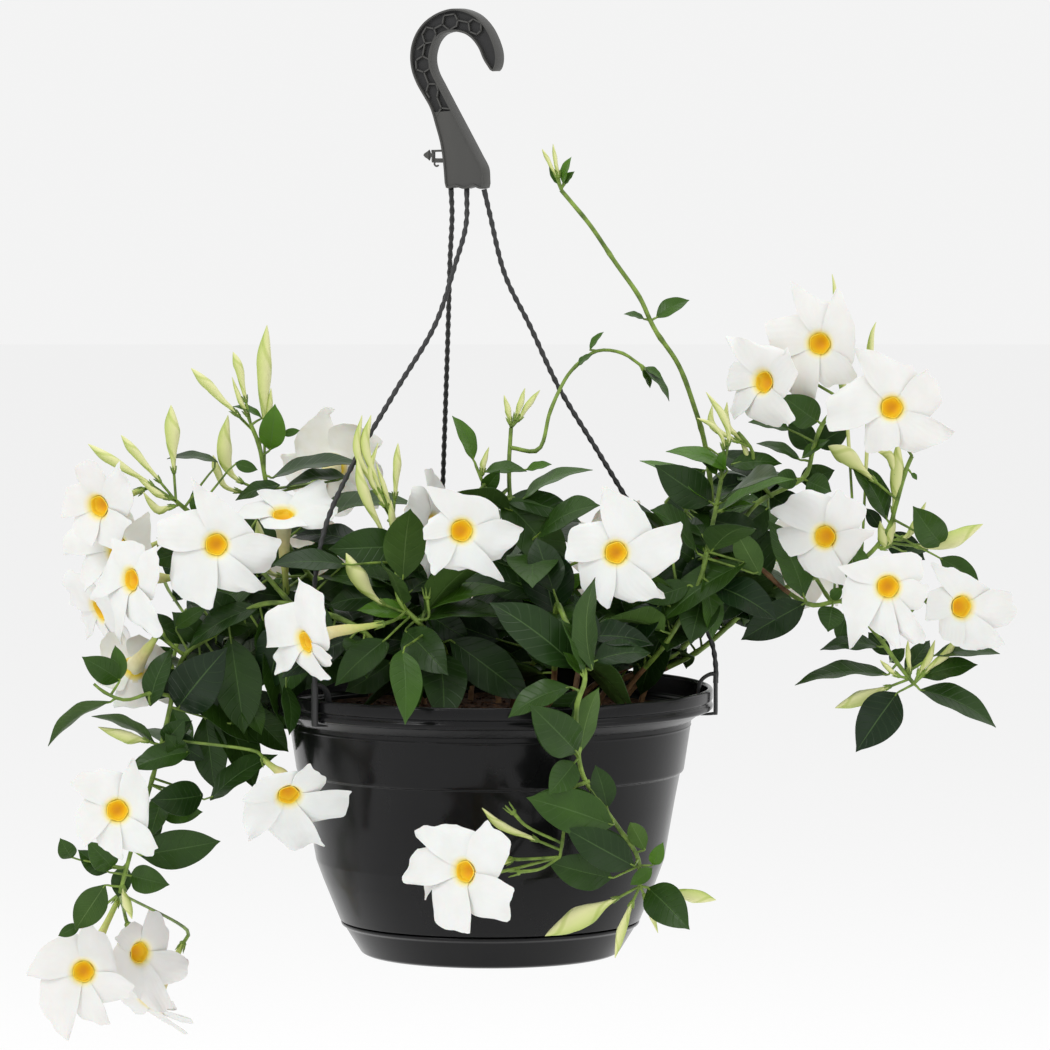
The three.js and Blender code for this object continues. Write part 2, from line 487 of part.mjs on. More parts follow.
// Leafy stems. A root is its place in the soil. A route runs through pixels and depths. The first
// route starts at the root, and each later one at the nearest point of those before it.
// A leaf is its base, its tip and the width that shows, then a when its tip leans away or u where
// its underside shows. A bud is its tip, its belly, the belly's width and the foot of its stalk.
const stems = {
  left_trail: {
    root: [-52, -30],
    routes: [
      [[372, 640, -60], [322, 612, -56], [262, 604, -50], [215, 634, -46], [184, 656, -42], [174, 690, -40],
        [165, 730, -42], [152, 780, -42], [137, 830, -44], [126, 870, -46], [120, 893, -44]],
      [[152, 693, -48], [125, 700, -54], [104, 692, -52], [94, 684, -50]],
    ],
    blooms: ['d', 'f', 'g', 'r', 's', 't', 'u', 'v'],
    leaves: [
      [330, 637, 375, 658, 22], [310, 625, 308, 588, 25], [262, 602, 188, 648, 22],
      [135, 618, 188, 645, 22], [175, 628, 207, 608, 15], [178, 708, 225, 650, 50],
      [150, 706, 172, 648, 24], [120, 680, 82, 657, 26], [120, 680, 115, 645, 16],
      [118, 700, 46, 743, 12, 'u'], [160, 745, 92, 715, 12, 'u'], [185, 757, 131, 765, 18],
      [185, 757, 165, 733, 20], [203, 795, 150, 800, 34], [140, 855, 221, 841, 38],
      [160, 815, 203, 812, 20], [210, 800, 278, 755, 22], [72, 858, 60, 838, 18], [113, 868, 88, 842, 26],
      [125, 877, 170, 885, 28], [105, 885, 75, 930, 30, 'u'], [80, 925, 58, 936, 12],
      [230, 725, 262, 703, 12], [285, 685, 290, 735, 16], [240, 690, 262, 735, 22],
    ],
    buds: [[98, 727, 130, 738, 12, 160, 743], [132, 919, 127, 903, 9, 120, 880]],
  },
  left_upper: {
    root: [-34, 8],
    routes: [[[352, 660, -6], [318, 630, -30], [285, 597, -36], [244, 552, -10], [204, 524, -12],
      [176, 501, -26]]],
    blooms: ['a', 'e', 'b'],
    leaves: [
      [200, 520, 193, 490, 14], [235, 463, 258, 470, 12], [280, 485, 235, 500, 14],
      [344, 563, 272, 565, 20], [300, 612, 262, 650, 20], [250, 560, 225, 620, 22],
    ],
    buds: [
      [171, 405, 172, 430, 15, 175, 499], [121, 435, 133, 450, 9, 175, 499],
      [88, 444, 108, 458, 10, 175, 499], [143, 492, 158, 510, 8, 180, 505],
    ],
  },
  left_top: {
    root: [-16, 34],
    routes: [[[368, 660, 24], [320, 590, 18], [280, 530, 8], [266, 482, 0], [259, 445, -2], [251, 425, -2]]],
    blooms: ['c', 'i'],
    leaves: [
      [270, 450, 275, 404, 26], [272, 478, 365, 461, 12], [348, 478, 283, 486, 12],
      [305, 525, 418, 499, 16], [322, 592, 290, 575, 16],
    ],
    buds: [
      [267, 325, 264, 365, 15, 265, 480], [233, 352, 238, 365, 9, 251, 425],
      [191, 368, 208, 385, 10, 252, 430], [202, 375, 212, 390, 8, 252, 428],
      [228, 415, 224, 450, 15, 240, 500], [213, 455, 217, 470, 8, 236, 505],
      [257, 520, 262, 545, 12, 278, 600],
    ],
  },
  crown_left: {
    root: [-6, -26],
    routes: [[[445, 650, -50], [418, 622, -72], [399, 600, -70], [397, 565, -62], [393, 522, -56]]],
    blooms: ['h', 'y'],
    leaves: [
      [412, 616, 357, 610, 18], [425, 610, 510, 592, 14], [415, 620, 510, 618, 18],
      [405, 630, 449, 676, 38], [402, 650, 407, 722, 30], [385, 640, 335, 685, 30],
      [450, 640, 530, 700, 44], [406, 546, 328, 549, 38],
    ],
    buds: [
      [346, 553, 357, 575, 17, 397, 625], [357, 458, 363, 490, 11, 395, 560],
      [371, 415, 365, 445, 9, 388, 515], [362, 415, 357, 450, 8, 388, 518],
      [398, 443, 397, 465, 8, 394, 512],
    ],
    calyxes: [[427, 597, 428, 618, 403, 630]],
  },
  crown_middle: {
    root: [34, 4],
    routes: [
      [[545, 640, -30], [548, 592, -44], [532, 545, -44], [512, 505, -38], [509, 470, -34], [511, 428, -32]],
      [[538, 450, -30], [550, 412, -26], [561, 387, -22], [572, 370, -18], [597, 351, -14], [622, 353, -12],
        [639, 364, -12]],
      [[500, 500, -42], [486, 488, -44], [476, 466, -44]],
    ],
    blooms: ['k', 'j'],
    leaves: [
      [500, 498, 568, 578, 46], [505, 500, 582, 520, 24],
      [475, 463, 454, 415, 15], [480, 475, 527, 470, 12], [483, 492, 500, 470, 16],
      [548, 592, 447, 570, 34], [553, 600, 513, 592, 12], [558, 598, 587, 572, 14],
      [550, 597, 508, 577, 12], [640, 364, 671, 400, 8],
    ],
    buds: [],
  },
  front_trail: {
    root: [58, -34],
    routes: [
      [[556, 640, -70], [557, 604, -88], [566, 622, -108], [579, 652, -126], [585, 680, -139],
        [577, 705, -143],
        [578, 752, -139], [584, 778, -136], [600, 802, -133], [620, 830, -130], [638, 858, -128],
        [640, 886, -128]],
      [[570, 790, -138], [564, 830, -138], [560, 857, -138]],
    ],
    blooms: ['w', 'x'],
    leaves: [
      [577, 668, 491, 600, 42], [592, 670, 593, 577, 24, 'u'], [588, 678, 563, 618, 15],
      [570, 687, 507, 716, 24],
      [583, 758, 598, 687, 26, 'u'], [577, 752, 530, 705, 40], [580, 760, 548, 795, 28],
      [613, 815, 595, 765, 24], [613, 825, 527, 798, 42], [634, 866, 565, 828, 35],
      [612, 878, 547, 862, 34], [645, 850, 630, 822, 18, 'u'], [653, 865, 663, 843, 14],
      [652, 868, 630, 885, 14], [648, 888, 690, 930, 38],
    ],
    buds: [
      [716, 900, 695, 896, 13, 645, 888], [545, 936, 580, 918, 22, 640, 886],
      [615, 958, 622, 930, 9, 638, 886], [482, 808, 500, 825, 8, 560, 850],
    ],
    calyxes: [[513, 812, 525, 825, 560, 840], [518, 872, 540, 869, 560, 857]],
  },
  tall_shoot: {
    root: [88, 26],
    routes: [[[690, 640, 26], [712, 540, 22], [706, 450, 14], [693, 403, 10], [678, 364, 10], [657, 333, 10],
      [650, 320, 10], [640, 298, 10], [615, 262, 10], [590, 225, 10], [572, 203, 10], [561, 190, 10]]],
    leaves: [[652, 322, 689, 299, 16], [560, 186, 572, 157, 8]],
    buds: [[542, 149, 548, 160, 4, 560, 186]],
  },
  right_inner: {
    root: [98, -22],
    routes: [[[668, 640, -40], [700, 580, -46], [708, 545, -46], [716, 508, -44], [721, 480, -42]]],
    leaves: [
      [712, 505, 655, 465, 38], [715, 505, 640, 460, 12], [728, 470, 667, 448, 14],
      [722, 480, 697, 452, 12], [722, 510, 795, 480, 12], [745, 563, 663, 624, 30],
      [760, 575, 735, 530, 26, 'u'], [700, 575, 712, 640, 22], [690, 585, 640, 600, 24],
    ],
    buds: [],
    calyxes: [[687, 510, 668, 495, 650, 600]],
  },
  right_low: {
    root: [112, 6],
    routes: [
      [[690, 610, -8], [702, 568, -16], [730, 557, -20], [758, 567, -20], [785, 590, -22], [812, 605, -24],
        [845, 602, -24], [876, 634, -26], [898, 664, -30], [914, 684, -32]],
    ],
    blooms: ['p', 'q', 'o'],
    leaves: [
      [805, 603, 741, 640, 34], [803, 600, 768, 520, 34], [885, 650, 820, 647, 14], [888, 675, 795, 687, 8],
      [897, 693, 856, 752, 42], [920, 690, 998, 724, 24], [922, 677, 978, 665, 20],
      [935, 655, 1000, 655, 14], [838, 598, 828, 632, 26], [838, 548, 870, 562, 14],
      [822, 600, 842, 588, 12],
    ],
    buds: [[835, 708, 862, 698, 15, 905, 680], [961, 632, 945, 655, 8, 914, 680]],
  },
  right_upper: {
    root: [76, 18],
    routes: [
      [[672, 640, 8], [730, 545, 8], [755, 505, 6], [805, 476, 4], [813, 450, 2], [822, 425, 0],
        [843, 400, 4]],
      [[755, 474, 0], [752, 450, -4], [738, 432, -6]],
    ],
    blooms: ['l', 'm'],
    leaves: [
      [730, 465, 782, 462, 18], [805, 475, 772, 480, 20], [805, 475, 832, 492, 24],
      [825, 425, 782, 395, 32], [790, 430, 748, 423, 12], [760, 500, 700, 522, 22],
    ],
    buds: [],
  },
  right_far: {
    root: [104, 34],
    routes: [
      [[700, 650, 30], [760, 600, 20], [820, 575, 8], [862, 560, 4], [888, 530, 2], [896, 505, 0],
        [906, 470, 0], [912, 456, 0]],
    ],
    blooms: ['n'],
    leaves: [
      [890, 528, 850, 462, 24], [942, 545, 912, 505, 32], [940, 558, 980, 585, 22],
      [870, 562, 838, 590, 18],
    ],
    buds: [
      [898, 440, 897, 475, 14, 892, 530], [926, 502, 915, 525, 8, 898, 548],
      [983, 524, 950, 540, 17, 905, 552], [880, 521, 883, 540, 10, 886, 556],
      [895, 512, 890, 535, 9, 888, 556], [828, 446, 845, 455, 18, 896, 500],
      [878, 452, 888, 454, 9, 900, 488],
    ],
  },
};

// Stems of the far side, which the picture doesn't show
Object.assign(stems, {
  back_left: {
    root: [-22, 52],
    routes: [[[392, 655, 62], [350, 600, 92], [300, 570, 108], [250, 560, 118], [205, 585, 122],
      [178, 640, 118], [168, 700, 110]]],
    blooms: ['back_a'],
  },
  back_middle: {
    root: [24, 62],
    routes: [[[470, 640, 80], [455, 590, 104], [470, 545, 116], [505, 522, 112], [540, 520, 104]]],
    blooms: ['back_b'],
  },
  back_right: {
    root: [72, 58],
    routes: [[[590, 640, 84], [640, 584, 108], [695, 556, 122], [750, 545, 126], [800, 560, 120],
      [830, 600, 110]]],
    blooms: ['back_c'],
  },
  back_trail: {
    root: [8, 84],
    routes: [[[478, 655, 112], [482, 656, 136], [484, 690, 148], [488, 760, 146], [478, 830, 142],
      [470, 884, 138]]],
    blooms: ['back_d'],
  },
});

// Pairs of leaves that fill the crown and the far side, and the number that starts their scatter
const fillers = {
  left_trail: { seed: 2, pairs: 2 },
  left_upper: { seed: 3, pairs: 3 },
  left_top: { seed: 5, pairs: 3 },
  crown_left: { seed: 7, pairs: 4 },
  crown_middle: { seed: 13, pairs: 5 },
  front_trail: { seed: 31, pairs: 2 },
  tall_shoot: { seed: 41, pairs: 3 },
  right_inner: { seed: 17, pairs: 4 },
  right_upper: { seed: 19, pairs: 3 },
  right_low: { seed: 29, pairs: 3 },
  right_far: { seed: 43, pairs: 3 },
  back_left: { seed: 11, pairs: 6 },
  back_middle: { seed: 23, pairs: 5 },
  back_right: { seed: 37, pairs: 6 },
  back_trail: { seed: 53, pairs: 5 },
};

// Where the plant and its pot are dense in the picture, as boxes of pixels. The fillers end in these.
const thickets = [[290, 500, 720, 650], [290, 650, 620, 690], [130, 500, 300, 740], [700, 470, 900, 630],
  [310, 690, 690, 950]];

// How far the leaves and buds are tried in front of and behind their own depth
const depthShifts = [0, -8, 8, -16, 16, -24, 24, -34, 34, -46, 46];

// A leaf's blade in space, from what shows of it: a wide blade leans, a narrow one is turned
function bladeSeen(stalkFoot, leaf, shift, leanSign) {
  const [baseX, baseY, tipX, tipY, width, flag] = leaf;
  const length = Math.hypot(tipX - baseX, tipY - baseY) * picture.scale;
  const shown = width * picture.scale;
  const steep = shown > leafSlenderness * length;
  const need = steep ? Math.sqrt((shown / leafSlenderness) ** 2 - length ** 2) : 0;
  const lean = Math.min(need, steepestLean * length);
  const fullWidth = steep ? shown : Math.max(shown, leafSlenderness * length * usualWidth);
  const roll = steep ? 0 : Math.min(Math.acos(Math.min(shown / fullWidth, 1)), steepestRoll);
  const base = seen(baseX, baseY, stalkFoot.y + shift * 0.6);
  const tip = seen(tipX, tipY, base.y + shift * 0.4 + (flag === 'a' ? lean : -lean) * leanSign);
  const along = tip.clone().sub(base).normalize();
  const towards = gaze.clone().negate();
  const facing = towards.addScaledVector(along, -towards.dot(along)).normalize();
  const turn = facing.clone().cross(along).z > 0 === (flag === 'u') ? roll : -roll;
  const normal = facing.applyAxisAngle(along, turn);
  return { stalkFoot, base, tip, width: fullWidth, top: flag === 'u' ? normal.negate() : normal };
}

// The blade of a leaf with its stalk, one closed skin that is arched over its length. A leaf hidden
// among others goes over from its stalk to its blade in one run.
function leafSkin({ stalkFoot, base, tip, width, top, hidden }, fat) {
  const start = base.distanceTo(stalkFoot) < shortestStalk
    ? stalkFoot.clone().addScaledVector(tip.clone().sub(stalkFoot).normalize(), shortestStalk) : base;
  const along = tip.clone().sub(start);
  const crest = start.clone().lerp(tip, 0.5).addScaledVector(top, along.length() * leafArch * 2);
  const curve = new THREE.QuadraticBezierCurve3(start, crest, tip);
  along.normalize();
  const normal = top.clone().addScaledVector(along, -top.dot(along)).normalize();
  const axes = [normal.clone().cross(along), normal];
  const rise = start.clone().sub(stalkFoot).normalize();
  const bend = rise.clone().add(along).addScaledVector(along, 0.3).normalize();
  const toBend = new THREE.Quaternion().setFromUnitVectors(along, bend);
  const toRise = new THREE.Quaternion().setFromUnitVectors(bend, rise);
  const bendAxes = axes.map((axis) => axis.clone().applyQuaternion(toBend));
  const riseAxes = bendAxes.map((axis) => axis.clone().applyQuaternion(toRise));
  const section = (centre, [s, n], half, keel) => [
    centre.clone().addScaledVector(s, half).addScaledVector(n, keel / 2),
    centre.clone().addScaledVector(s, -half).addScaledVector(n, keel / 2),
    centre.clone().addScaledVector(n, -keel / 2),
  ];
  const stalk = stalkRadius + fat;
  const keel = bladeThickness + 2 * fat;
  return skin([
    section(stalkFoot, riseAxes, stalk, stalk * 1.8),
    ...(hidden ? [] : [section(start, bendAxes, stalk, stalk * 1.8)]),
    section(curve.getPoint(widest.low), axes, (width / 2) * widest.lowWidth + fat, keel),
    section(curve.getPoint(widest.high), axes, (width / 2) * widest.highWidth + fat, keel),
    [tip],
  ]);
}

function budSkin(foot, bud, shift, fat) {
  const [tipX, tipY, bellyX, bellyY, width, footX, footY] = bud;
  const belly = seen(bellyX, bellyY, foot.y + shift);
  const tip = seen(tipX, tipY, foot.y + shift * 1.1);
  const root = seen(footX, footY, foot.y);
  const neck = belly.clone().lerp(root, 0.5);
  const full = Math.max((width * picture.scale) / 2, 1.2) + fat;
  const stalk = stalkRadius + fat;
  return tube([foot, neck, belly, tip], [stalk, stalk, full, 0], 4, 3);
}

function calyxSkin(foot, calyx, fat) {
  const [endX, endY, bendX, bendY] = calyx;
  const depth = foot.y - calyxForward;
  const radii = [stalkRadius, stalkRadius, calyxRadius].map((radius) => radius + fat);
  return tube([foot, seen(bendX, bendY, depth), seen(endX, endY, depth)], radii, 4, 2);
}

function pedicelSkin(foot, bloom, [swing, sway], fat) {
  const inward = bloomInward(bloom);
  const start = bloomBase(bloom).addScaledVector(inward, clearance * 1.5 + fat);
  const bend = start.clone().addScaledVector(inward, 9).add(point(0, sway, swing));
  const seatAt = start.clone().addScaledVector(inward, 3);
  return tube([foot, bend, seatAt, start], [stalkRadius + fat, stalkRadius + fat, 1.8 + fat], 3, 2);
}

// A number between 0 and 1 that looks random and is the same each time
function scatter(seed) {
  const value = Math.sin(seed * 12.9898) * 43758.5453;
  return value - Math.floor(value);
}

// Leaves in pairs up a cane, each pair crosswise to the one below it. A leaf may swing round its
// cane to a clear place, so each comes as a list of blades.
function pairedBlades(samples, { seed, pairs }) {
  const stride = Math.round(pairSpacing / samples[0].spot.distanceTo(samples[1].spot));
  const leaves = [];
  for (let pair = 0; pair < pairs && (pair + 1) * stride < samples.length - 1; pair++) {
    const i = (pair + 1) * stride;
    const { spot } = samples[i];
    const cane = samples[i + 1].spot.clone().sub(samples[i - 1].spot).normalize();
    const across = cane.clone().cross(point(0, 1, 0.2)).normalize();
    across.applyAxisAngle(cane, (pair % 2) * 1.4 + scatter(seed + pair) * 0.5);
    [1, -1].forEach((sign, leaf) => {
      const draw = scatter(seed * 3 + pair * 2 + leaf);
      const length = fillerLength + fillerExtra * draw;
      leaves.push(leafSwings.map((swing) => {
        const way = across.clone().multiplyScalar(sign).applyAxisAngle(cane, swing);
        way.addScaledVector(cane, 0.4).add(point(0, 0.35, 0.15 - draw)).normalize();
        const base = spot.clone().addScaledVector(way, fillerStalk);
        const tip = base.clone().addScaledVector(way, length);
        const top = up.clone().addScaledVector(way, -up.dot(way)).add(point(0, 0.5, 0)).normalize();
        const width = length * leafSlenderness;
        return { stalkFoot: spot, base, tip, width, top, hidden: true };
      }));
    });
  }
  return leaves;
}

function inThicket(place) {
  const [px, py] = pixelOf(place);
  return thickets.some(([left, top, right, low]) => px > left && px < right && py > top && py < low);
}

// The canes of a stem, with the points at which its leaves may start
function makeCanes(name) {
  const stem = stems[name];
  const crown = point(stem.root[0], stem.root[1], rimTopZ - soilDepth);
  const samples = [];
  const nearest = (px, py) => samples.reduce((best, sample) => {
    const far = Math.hypot(sample.pixel[0] - px, sample.pixel[1] - py);
    return far < best.far ? { far, spot: sample.spot } : best;
  }, { far: Infinity }).spot;
  const canes = stem.routes.map((route, i) => {
    const start = i === 0
      ? [crown.clone().setZ(crown.z - rootDepth), crown.clone().setZ(crown.z + 6)]
      : [nearest(route[0][0], route[0][1])];
    const way = [...start, ...route.map((stop) => seen(...stop))];
    const curve = new THREE.CatmullRomCurve3(way, false, 'centripetal');
    const steps = Math.round(curve.getLength() / caneStep);
    const joints = Array.from({ length: steps + 1 }, (_, j) => curve.getPointAt(j / steps));
    joints.slice(1).forEach((joint, j) => {
      for (let part = 0; part < 1; part += 0.125) {
        const spot = joints[j].clone().lerp(joint, part);
        if (i > 0 || j > 0) samples.push({ spot, pixel: pixelOf(spot) });
      }
    });
    samples.push({ spot: joints.at(-1), pixel: pixelOf(joints.at(-1)) });
    const radius = i === 0 ? caneRadius : twigRadius;
    return solidOf(tube(way, [radius, radius * 0.8], 4, steps));
  });
  Object.assign(stem, { samples, nearest, canes: joined(canes) });
  keepClearOf(`stem_${name}`, stem.canes);
}

function makeStem(name) {
  const { samples, nearest, canes, blooms: mouths = [], leaves = [], buds = [], calyxes = [] } = stems[name];
  const solids = [canes];
  const grow = (makers) => {
    const clear = makers.find((maker) => isClear(maker(clearance), `stem_${name}`));
    if (clear) solids.push(solidOf(clear(0)));
  };
  mouths.forEach((letter) => {
    const foot = nearest(...pixelOf(bloomBase(blooms[letter])));
    const bends = [0, -9, 9, -18, 18].flatMap((swing) => [0, 9, -9, 18, -18].map((sway) => [swing, sway]));
    grow(bends.map((bend) => (fat) => pedicelSkin(foot, blooms[letter], bend, fat)));
  });
  leaves.forEach((leaf) => {
    const foot = nearest(leaf[0], leaf[1]);
    const tries = depthShifts.flatMap((shift) => [[shift, 1], [shift, -1]]);
    grow(tries.map(([shift, sign]) => (fat) => leafSkin(bladeSeen(foot, leaf, shift, sign), fat)));
  });
  buds.forEach((bud) => {
    const foot = nearest(bud[5], bud[6]);
    grow(depthShifts.map((shift) => (fat) => budSkin(foot, bud, shift, fat)));
  });
  calyxes.forEach((calyx) => grow([(fat) => calyxSkin(nearest(calyx[4], calyx[5]), calyx, fat)]));
  if (fillers[name]) {
    pairedBlades(samples, fillers[name]).forEach((swings) => {
      const blades = swings.filter(({ tip }) => inThicket(tip));
      grow(blades.map((blade) => (fat) => leafSkin(blade, fat)));
    });
  }
  place(`stem_${name}`, largest(joined(solids).simplify(shortestEdge)), leafGreen);
}

makePot();
makeSaucer();
makeSoil(Object.values(stems).map((stem) => stem.root));
makeHook();
Object.keys(clipAngles).forEach(makeStrand);
Object.keys(blooms).forEach(makeBloom);
Object.keys(stems).forEach(makeCanes);
Object.keys(stems).forEach(makeStem);

export default group;
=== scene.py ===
import math
import random

import bmesh
import bpy
from mathutils import Matrix, Quaternion, Vector, noise
from mathutils.bvhtree import BVHTree


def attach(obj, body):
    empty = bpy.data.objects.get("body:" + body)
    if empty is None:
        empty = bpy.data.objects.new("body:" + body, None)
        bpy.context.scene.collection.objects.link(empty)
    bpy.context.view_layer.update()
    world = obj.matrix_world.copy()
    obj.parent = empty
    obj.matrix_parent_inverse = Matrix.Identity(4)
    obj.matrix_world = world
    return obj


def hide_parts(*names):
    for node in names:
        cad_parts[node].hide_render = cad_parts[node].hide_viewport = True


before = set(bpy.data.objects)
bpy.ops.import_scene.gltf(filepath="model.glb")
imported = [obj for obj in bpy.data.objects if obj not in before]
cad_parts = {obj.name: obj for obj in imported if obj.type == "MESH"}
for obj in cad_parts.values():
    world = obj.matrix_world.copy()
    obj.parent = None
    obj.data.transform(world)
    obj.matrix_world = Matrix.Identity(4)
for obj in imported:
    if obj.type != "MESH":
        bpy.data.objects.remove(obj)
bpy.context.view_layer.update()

# A white mandevilla in a hanging pot. Shapes are worked out in millimetres and made in metres.
mm = 0.001
scene = bpy.context.scene
chance = random.Random(9)

# The view of the photograph: a pixel and a depth give a place
picture = {"size": 1050, "scale": 0.605, "distance": 4500, "pitch": math.radians(4.3), "sensor": 36}
up = Vector((0, 0, 1))
aim = Vector((41.1, 0, -297.9))
gaze = Vector((0, math.cos(picture["pitch"]), -math.sin(picture["pitch"])))
lift = Vector((0, math.sin(picture["pitch"]), math.cos(picture["pitch"])))
eye = aim - gaze * picture["distance"]


def seen(px, py, depth):
    toMm = picture["scale"] / picture["distance"]
    ray = gaze + lift * ((picture["size"] / 2 - py) * toMm)
    ray.x += (px - picture["size"] / 2) * toMm
    return eye + ray * ((depth - eye.y) / ray.y)


def pixelOf(place):
    ray = place - eye
    toPixels = picture["distance"] / picture["scale"] / ray.dot(gaze)
    return (picture["size"] / 2 + ray.x * toPixels, picture["size"] / 2 - ray.dot(lift) * toPixels)


def mix(a, b, t):
    return a + (b - a) * t


def clamp(value, low, high):
    return max(low, min(high, value))


# Centripetal curve through the points, as evenly spaced places
def smoothWay(points, steps):
    stops = [points[0] * 2 - points[1], *points, points[-1] * 2 - points[-2]]
    fine = [points[0].copy()]
    for a, b, c, d in zip(stops, stops[1:], stops[2:], stops[3:]):
        gaps = [max((q - p).length ** 0.5, 1e-3) for p, q in ((a, b), (b, c), (c, d))]
        leave = ((b - a) / gaps[0] - (c - a) / (gaps[0] + gaps[1]) + (c - b) / gaps[1]) * gaps[1]
        arrive = ((c - b) / gaps[1] - (d - b) / (gaps[1] + gaps[2]) + (d - c) / gaps[2]) * gaps[1]
        for k in range(1, 13):
            t = k / 12
            fine.append(b * (2 * t ** 3 - 3 * t ** 2 + 1) + leave * (t ** 3 - 2 * t ** 2 + t)
                        + c * (3 * t ** 2 - 2 * t ** 3) + arrive * (t ** 3 - t ** 2))
    reach = [0.0]
    for p, q in zip(fine, fine[1:]):
        reach.append(reach[-1] + (q - p).length)
    places, k = [], 0
    for i in range(steps + 1):
        goal = reach[-1] * i / steps
        while k < len(fine) - 2 and reach[k + 1] < goal:
            k += 1
        span = max(reach[k + 1] - reach[k], 1e-9)
        places.append(fine[k].lerp(fine[k + 1], clamp((goal - reach[k]) / span, 0, 1)))
    return places


def wayLength(points):
    return sum((q - p).length for p, q in zip(points, points[1:]))


# The value of a list of numbers at a fraction of its length
def along(values, t):
    place = clamp(t, 0, 1) * (len(values) - 1)
    low = min(int(place), len(values) - 2)
    return mix(values[low], values[low + 1], place - low)


# Materials
def newMaterial(name, roughness, specular):
    material = bpy.data.materials.new(name)
    material.use_nodes = True
    tree = material.node_tree
    shader = tree.nodes["Principled BSDF"]
    shader.inputs["Roughness"].default_value = roughness
    shader.inputs["Specular IOR Level"].default_value = specular
    return material, tree, shader


# The colour of a value on a ramp of stops
def rampNode(tree, value, stops):
    node = tree.nodes.new("ShaderNodeValToRGB")
    bar = node.color_ramp
    while len(bar.elements) < len(stops):
        bar.elements.new(0.5)
    for element, (place, color) in zip(bar.elements, stops):
        element.position = place
        element.color = (*color, 1)
    tree.links.new(value, node.inputs["Fac"])
    return node.outputs["Color"]


def noiseNode(tree, scale, detail, roughness=0.5, stretch=None):
    place = tree.nodes.new("ShaderNodeTexCoord").outputs["Object"]
    if stretch:
        mapping = tree.nodes.new("ShaderNodeMapping")
        mapping.inputs["Scale"].default_value = stretch
        tree.links.new(place, mapping.inputs["Vector"])
        place = mapping.outputs["Vector"]
    texture = tree.nodes.new("ShaderNodeTexNoise")
    texture.inputs["Scale"].default_value = scale
    texture.inputs["Detail"].default_value = detail
    texture.inputs["Roughness"].default_value = roughness
    tree.links.new(place, texture.inputs["Vector"])
    return texture.outputs["Fac"]


def attribute(tree, name):
    node = tree.nodes.new("ShaderNodeAttribute")
    node.attribute_name = name
    return node.outputs["Fac"]


# The two values of the piece's own UV map
def flatPlace(tree):
    coord = tree.nodes.new("ShaderNodeTexCoord")
    parts = tree.nodes.new("ShaderNodeSeparateXYZ")
    tree.links.new(coord.outputs["UV"], parts.inputs["Vector"])
    return parts.outputs["X"], parts.outputs["Y"]


def mathNode(tree, operation, a, b=None):
    node = tree.nodes.new("ShaderNodeMath")
    node.operation = operation
    for socket, value in zip(node.inputs, (a, b)):
        if isinstance(value, (int, float)):
            socket.default_value = value
        elif value is not None:
            tree.links.new(value, socket)
    return node.outputs[0]


def blend(tree, kind, factor, a, b):
    node = tree.nodes.new("ShaderNodeMix")
    node.data_type = "RGBA"
    node.blend_type = kind
    for socket, value in ((node.inputs[0], factor), (node.inputs[6], a), (node.inputs[7], b)):
        if isinstance(value, (int, float)):
            socket.default_value = value
        elif isinstance(value, tuple):
            socket.default_value = (*value, 1)
        else:
            tree.links.new(value, socket)
    return node.outputs[2]


def addBump(tree, shader, height, strength, distance):
    bump = tree.nodes.new("ShaderNodeBump")
    bump.inputs["Strength"].default_value = strength
    bump.inputs["Distance"].default_value = distance
    tree.links.new(height, bump.inputs["Height"])
    tree.links.new(bump.outputs["Normal"], shader.inputs["Normal"])


# Light passes a little way into petals
def softFlesh(shader, weight):
    shader.inputs["Subsurface Weight"].default_value = weight
    shader.inputs["Subsurface Scale"].default_value = 0.002


# The petals are white, and yellow where they run down into the throat
petalFinish = {
    "roughness": 0.55, "specular": 0.3, "flesh": 0.12, "veins": 48, "veinDepth": 0.09,
    "colors": [(0.0, (0.66, 0.27, 0.004)), (0.18, (0.84, 0.44, 0.008)), (0.30, (0.91, 0.58, 0.015)),
               (0.38, (0.93, 0.68, 0.06)), (0.45, (0.91, 0.78, 0.30)), (0.53, (0.85, 0.81, 0.62)),
               (0.63, (0.80, 0.80, 0.765)), (1.0, (0.80, 0.80, 0.785))],
    "blotches": [(0.35, (0.93, 0.93, 0.91)), (0.65, (1.0, 1.0, 1.0))],
}


def petalMaterial():
    finish = petalFinish
    material, tree, shader = newMaterial("petalWhite", finish["roughness"], finish["specular"])
    reach = attribute(tree, "reach")
    colors = rampNode(tree, mathNode(tree, "MULTIPLY", reach, 0.5), finish["colors"])
    tint = rampNode(tree, noiseNode(tree, 70, 2), finish["blotches"])
    tree.links.new(blend(tree, "MULTIPLY", 0.6, colors, tint), shader.inputs["Base Color"])
    softFlesh(shader, finish["flesh"])
    veins = mathNode(tree, "SINE", mathNode(tree, "MULTIPLY", attribute(tree, "side"), finish["veins"]))
    addBump(tree, shader, mathNode(tree, "MULTIPLY", veins, reach), finish["veinDepth"], 0.0001)
    return material


# The underside of the petals has no yellow in it; it is lighter than the upper side, painted light that lifts
# the shade it lies in
underFinish = {
    "roughness": 0.6, "specular": 0.25, "flesh": 0.12,
    "streaks": [(0.3, (0.86, 0.86, 0.80)), (0.7, (0.91, 0.91, 0.89))],
}


def underMaterial():
    finish = underFinish
    material, tree, shader = newMaterial("petalUnder", finish["roughness"], finish["specular"])
    tint = rampNode(tree, noiseNode(tree, 160, 3), finish["streaks"])
    tree.links.new(tint, shader.inputs["Base Color"])
    softFlesh(shader, finish["flesh"])
    return material


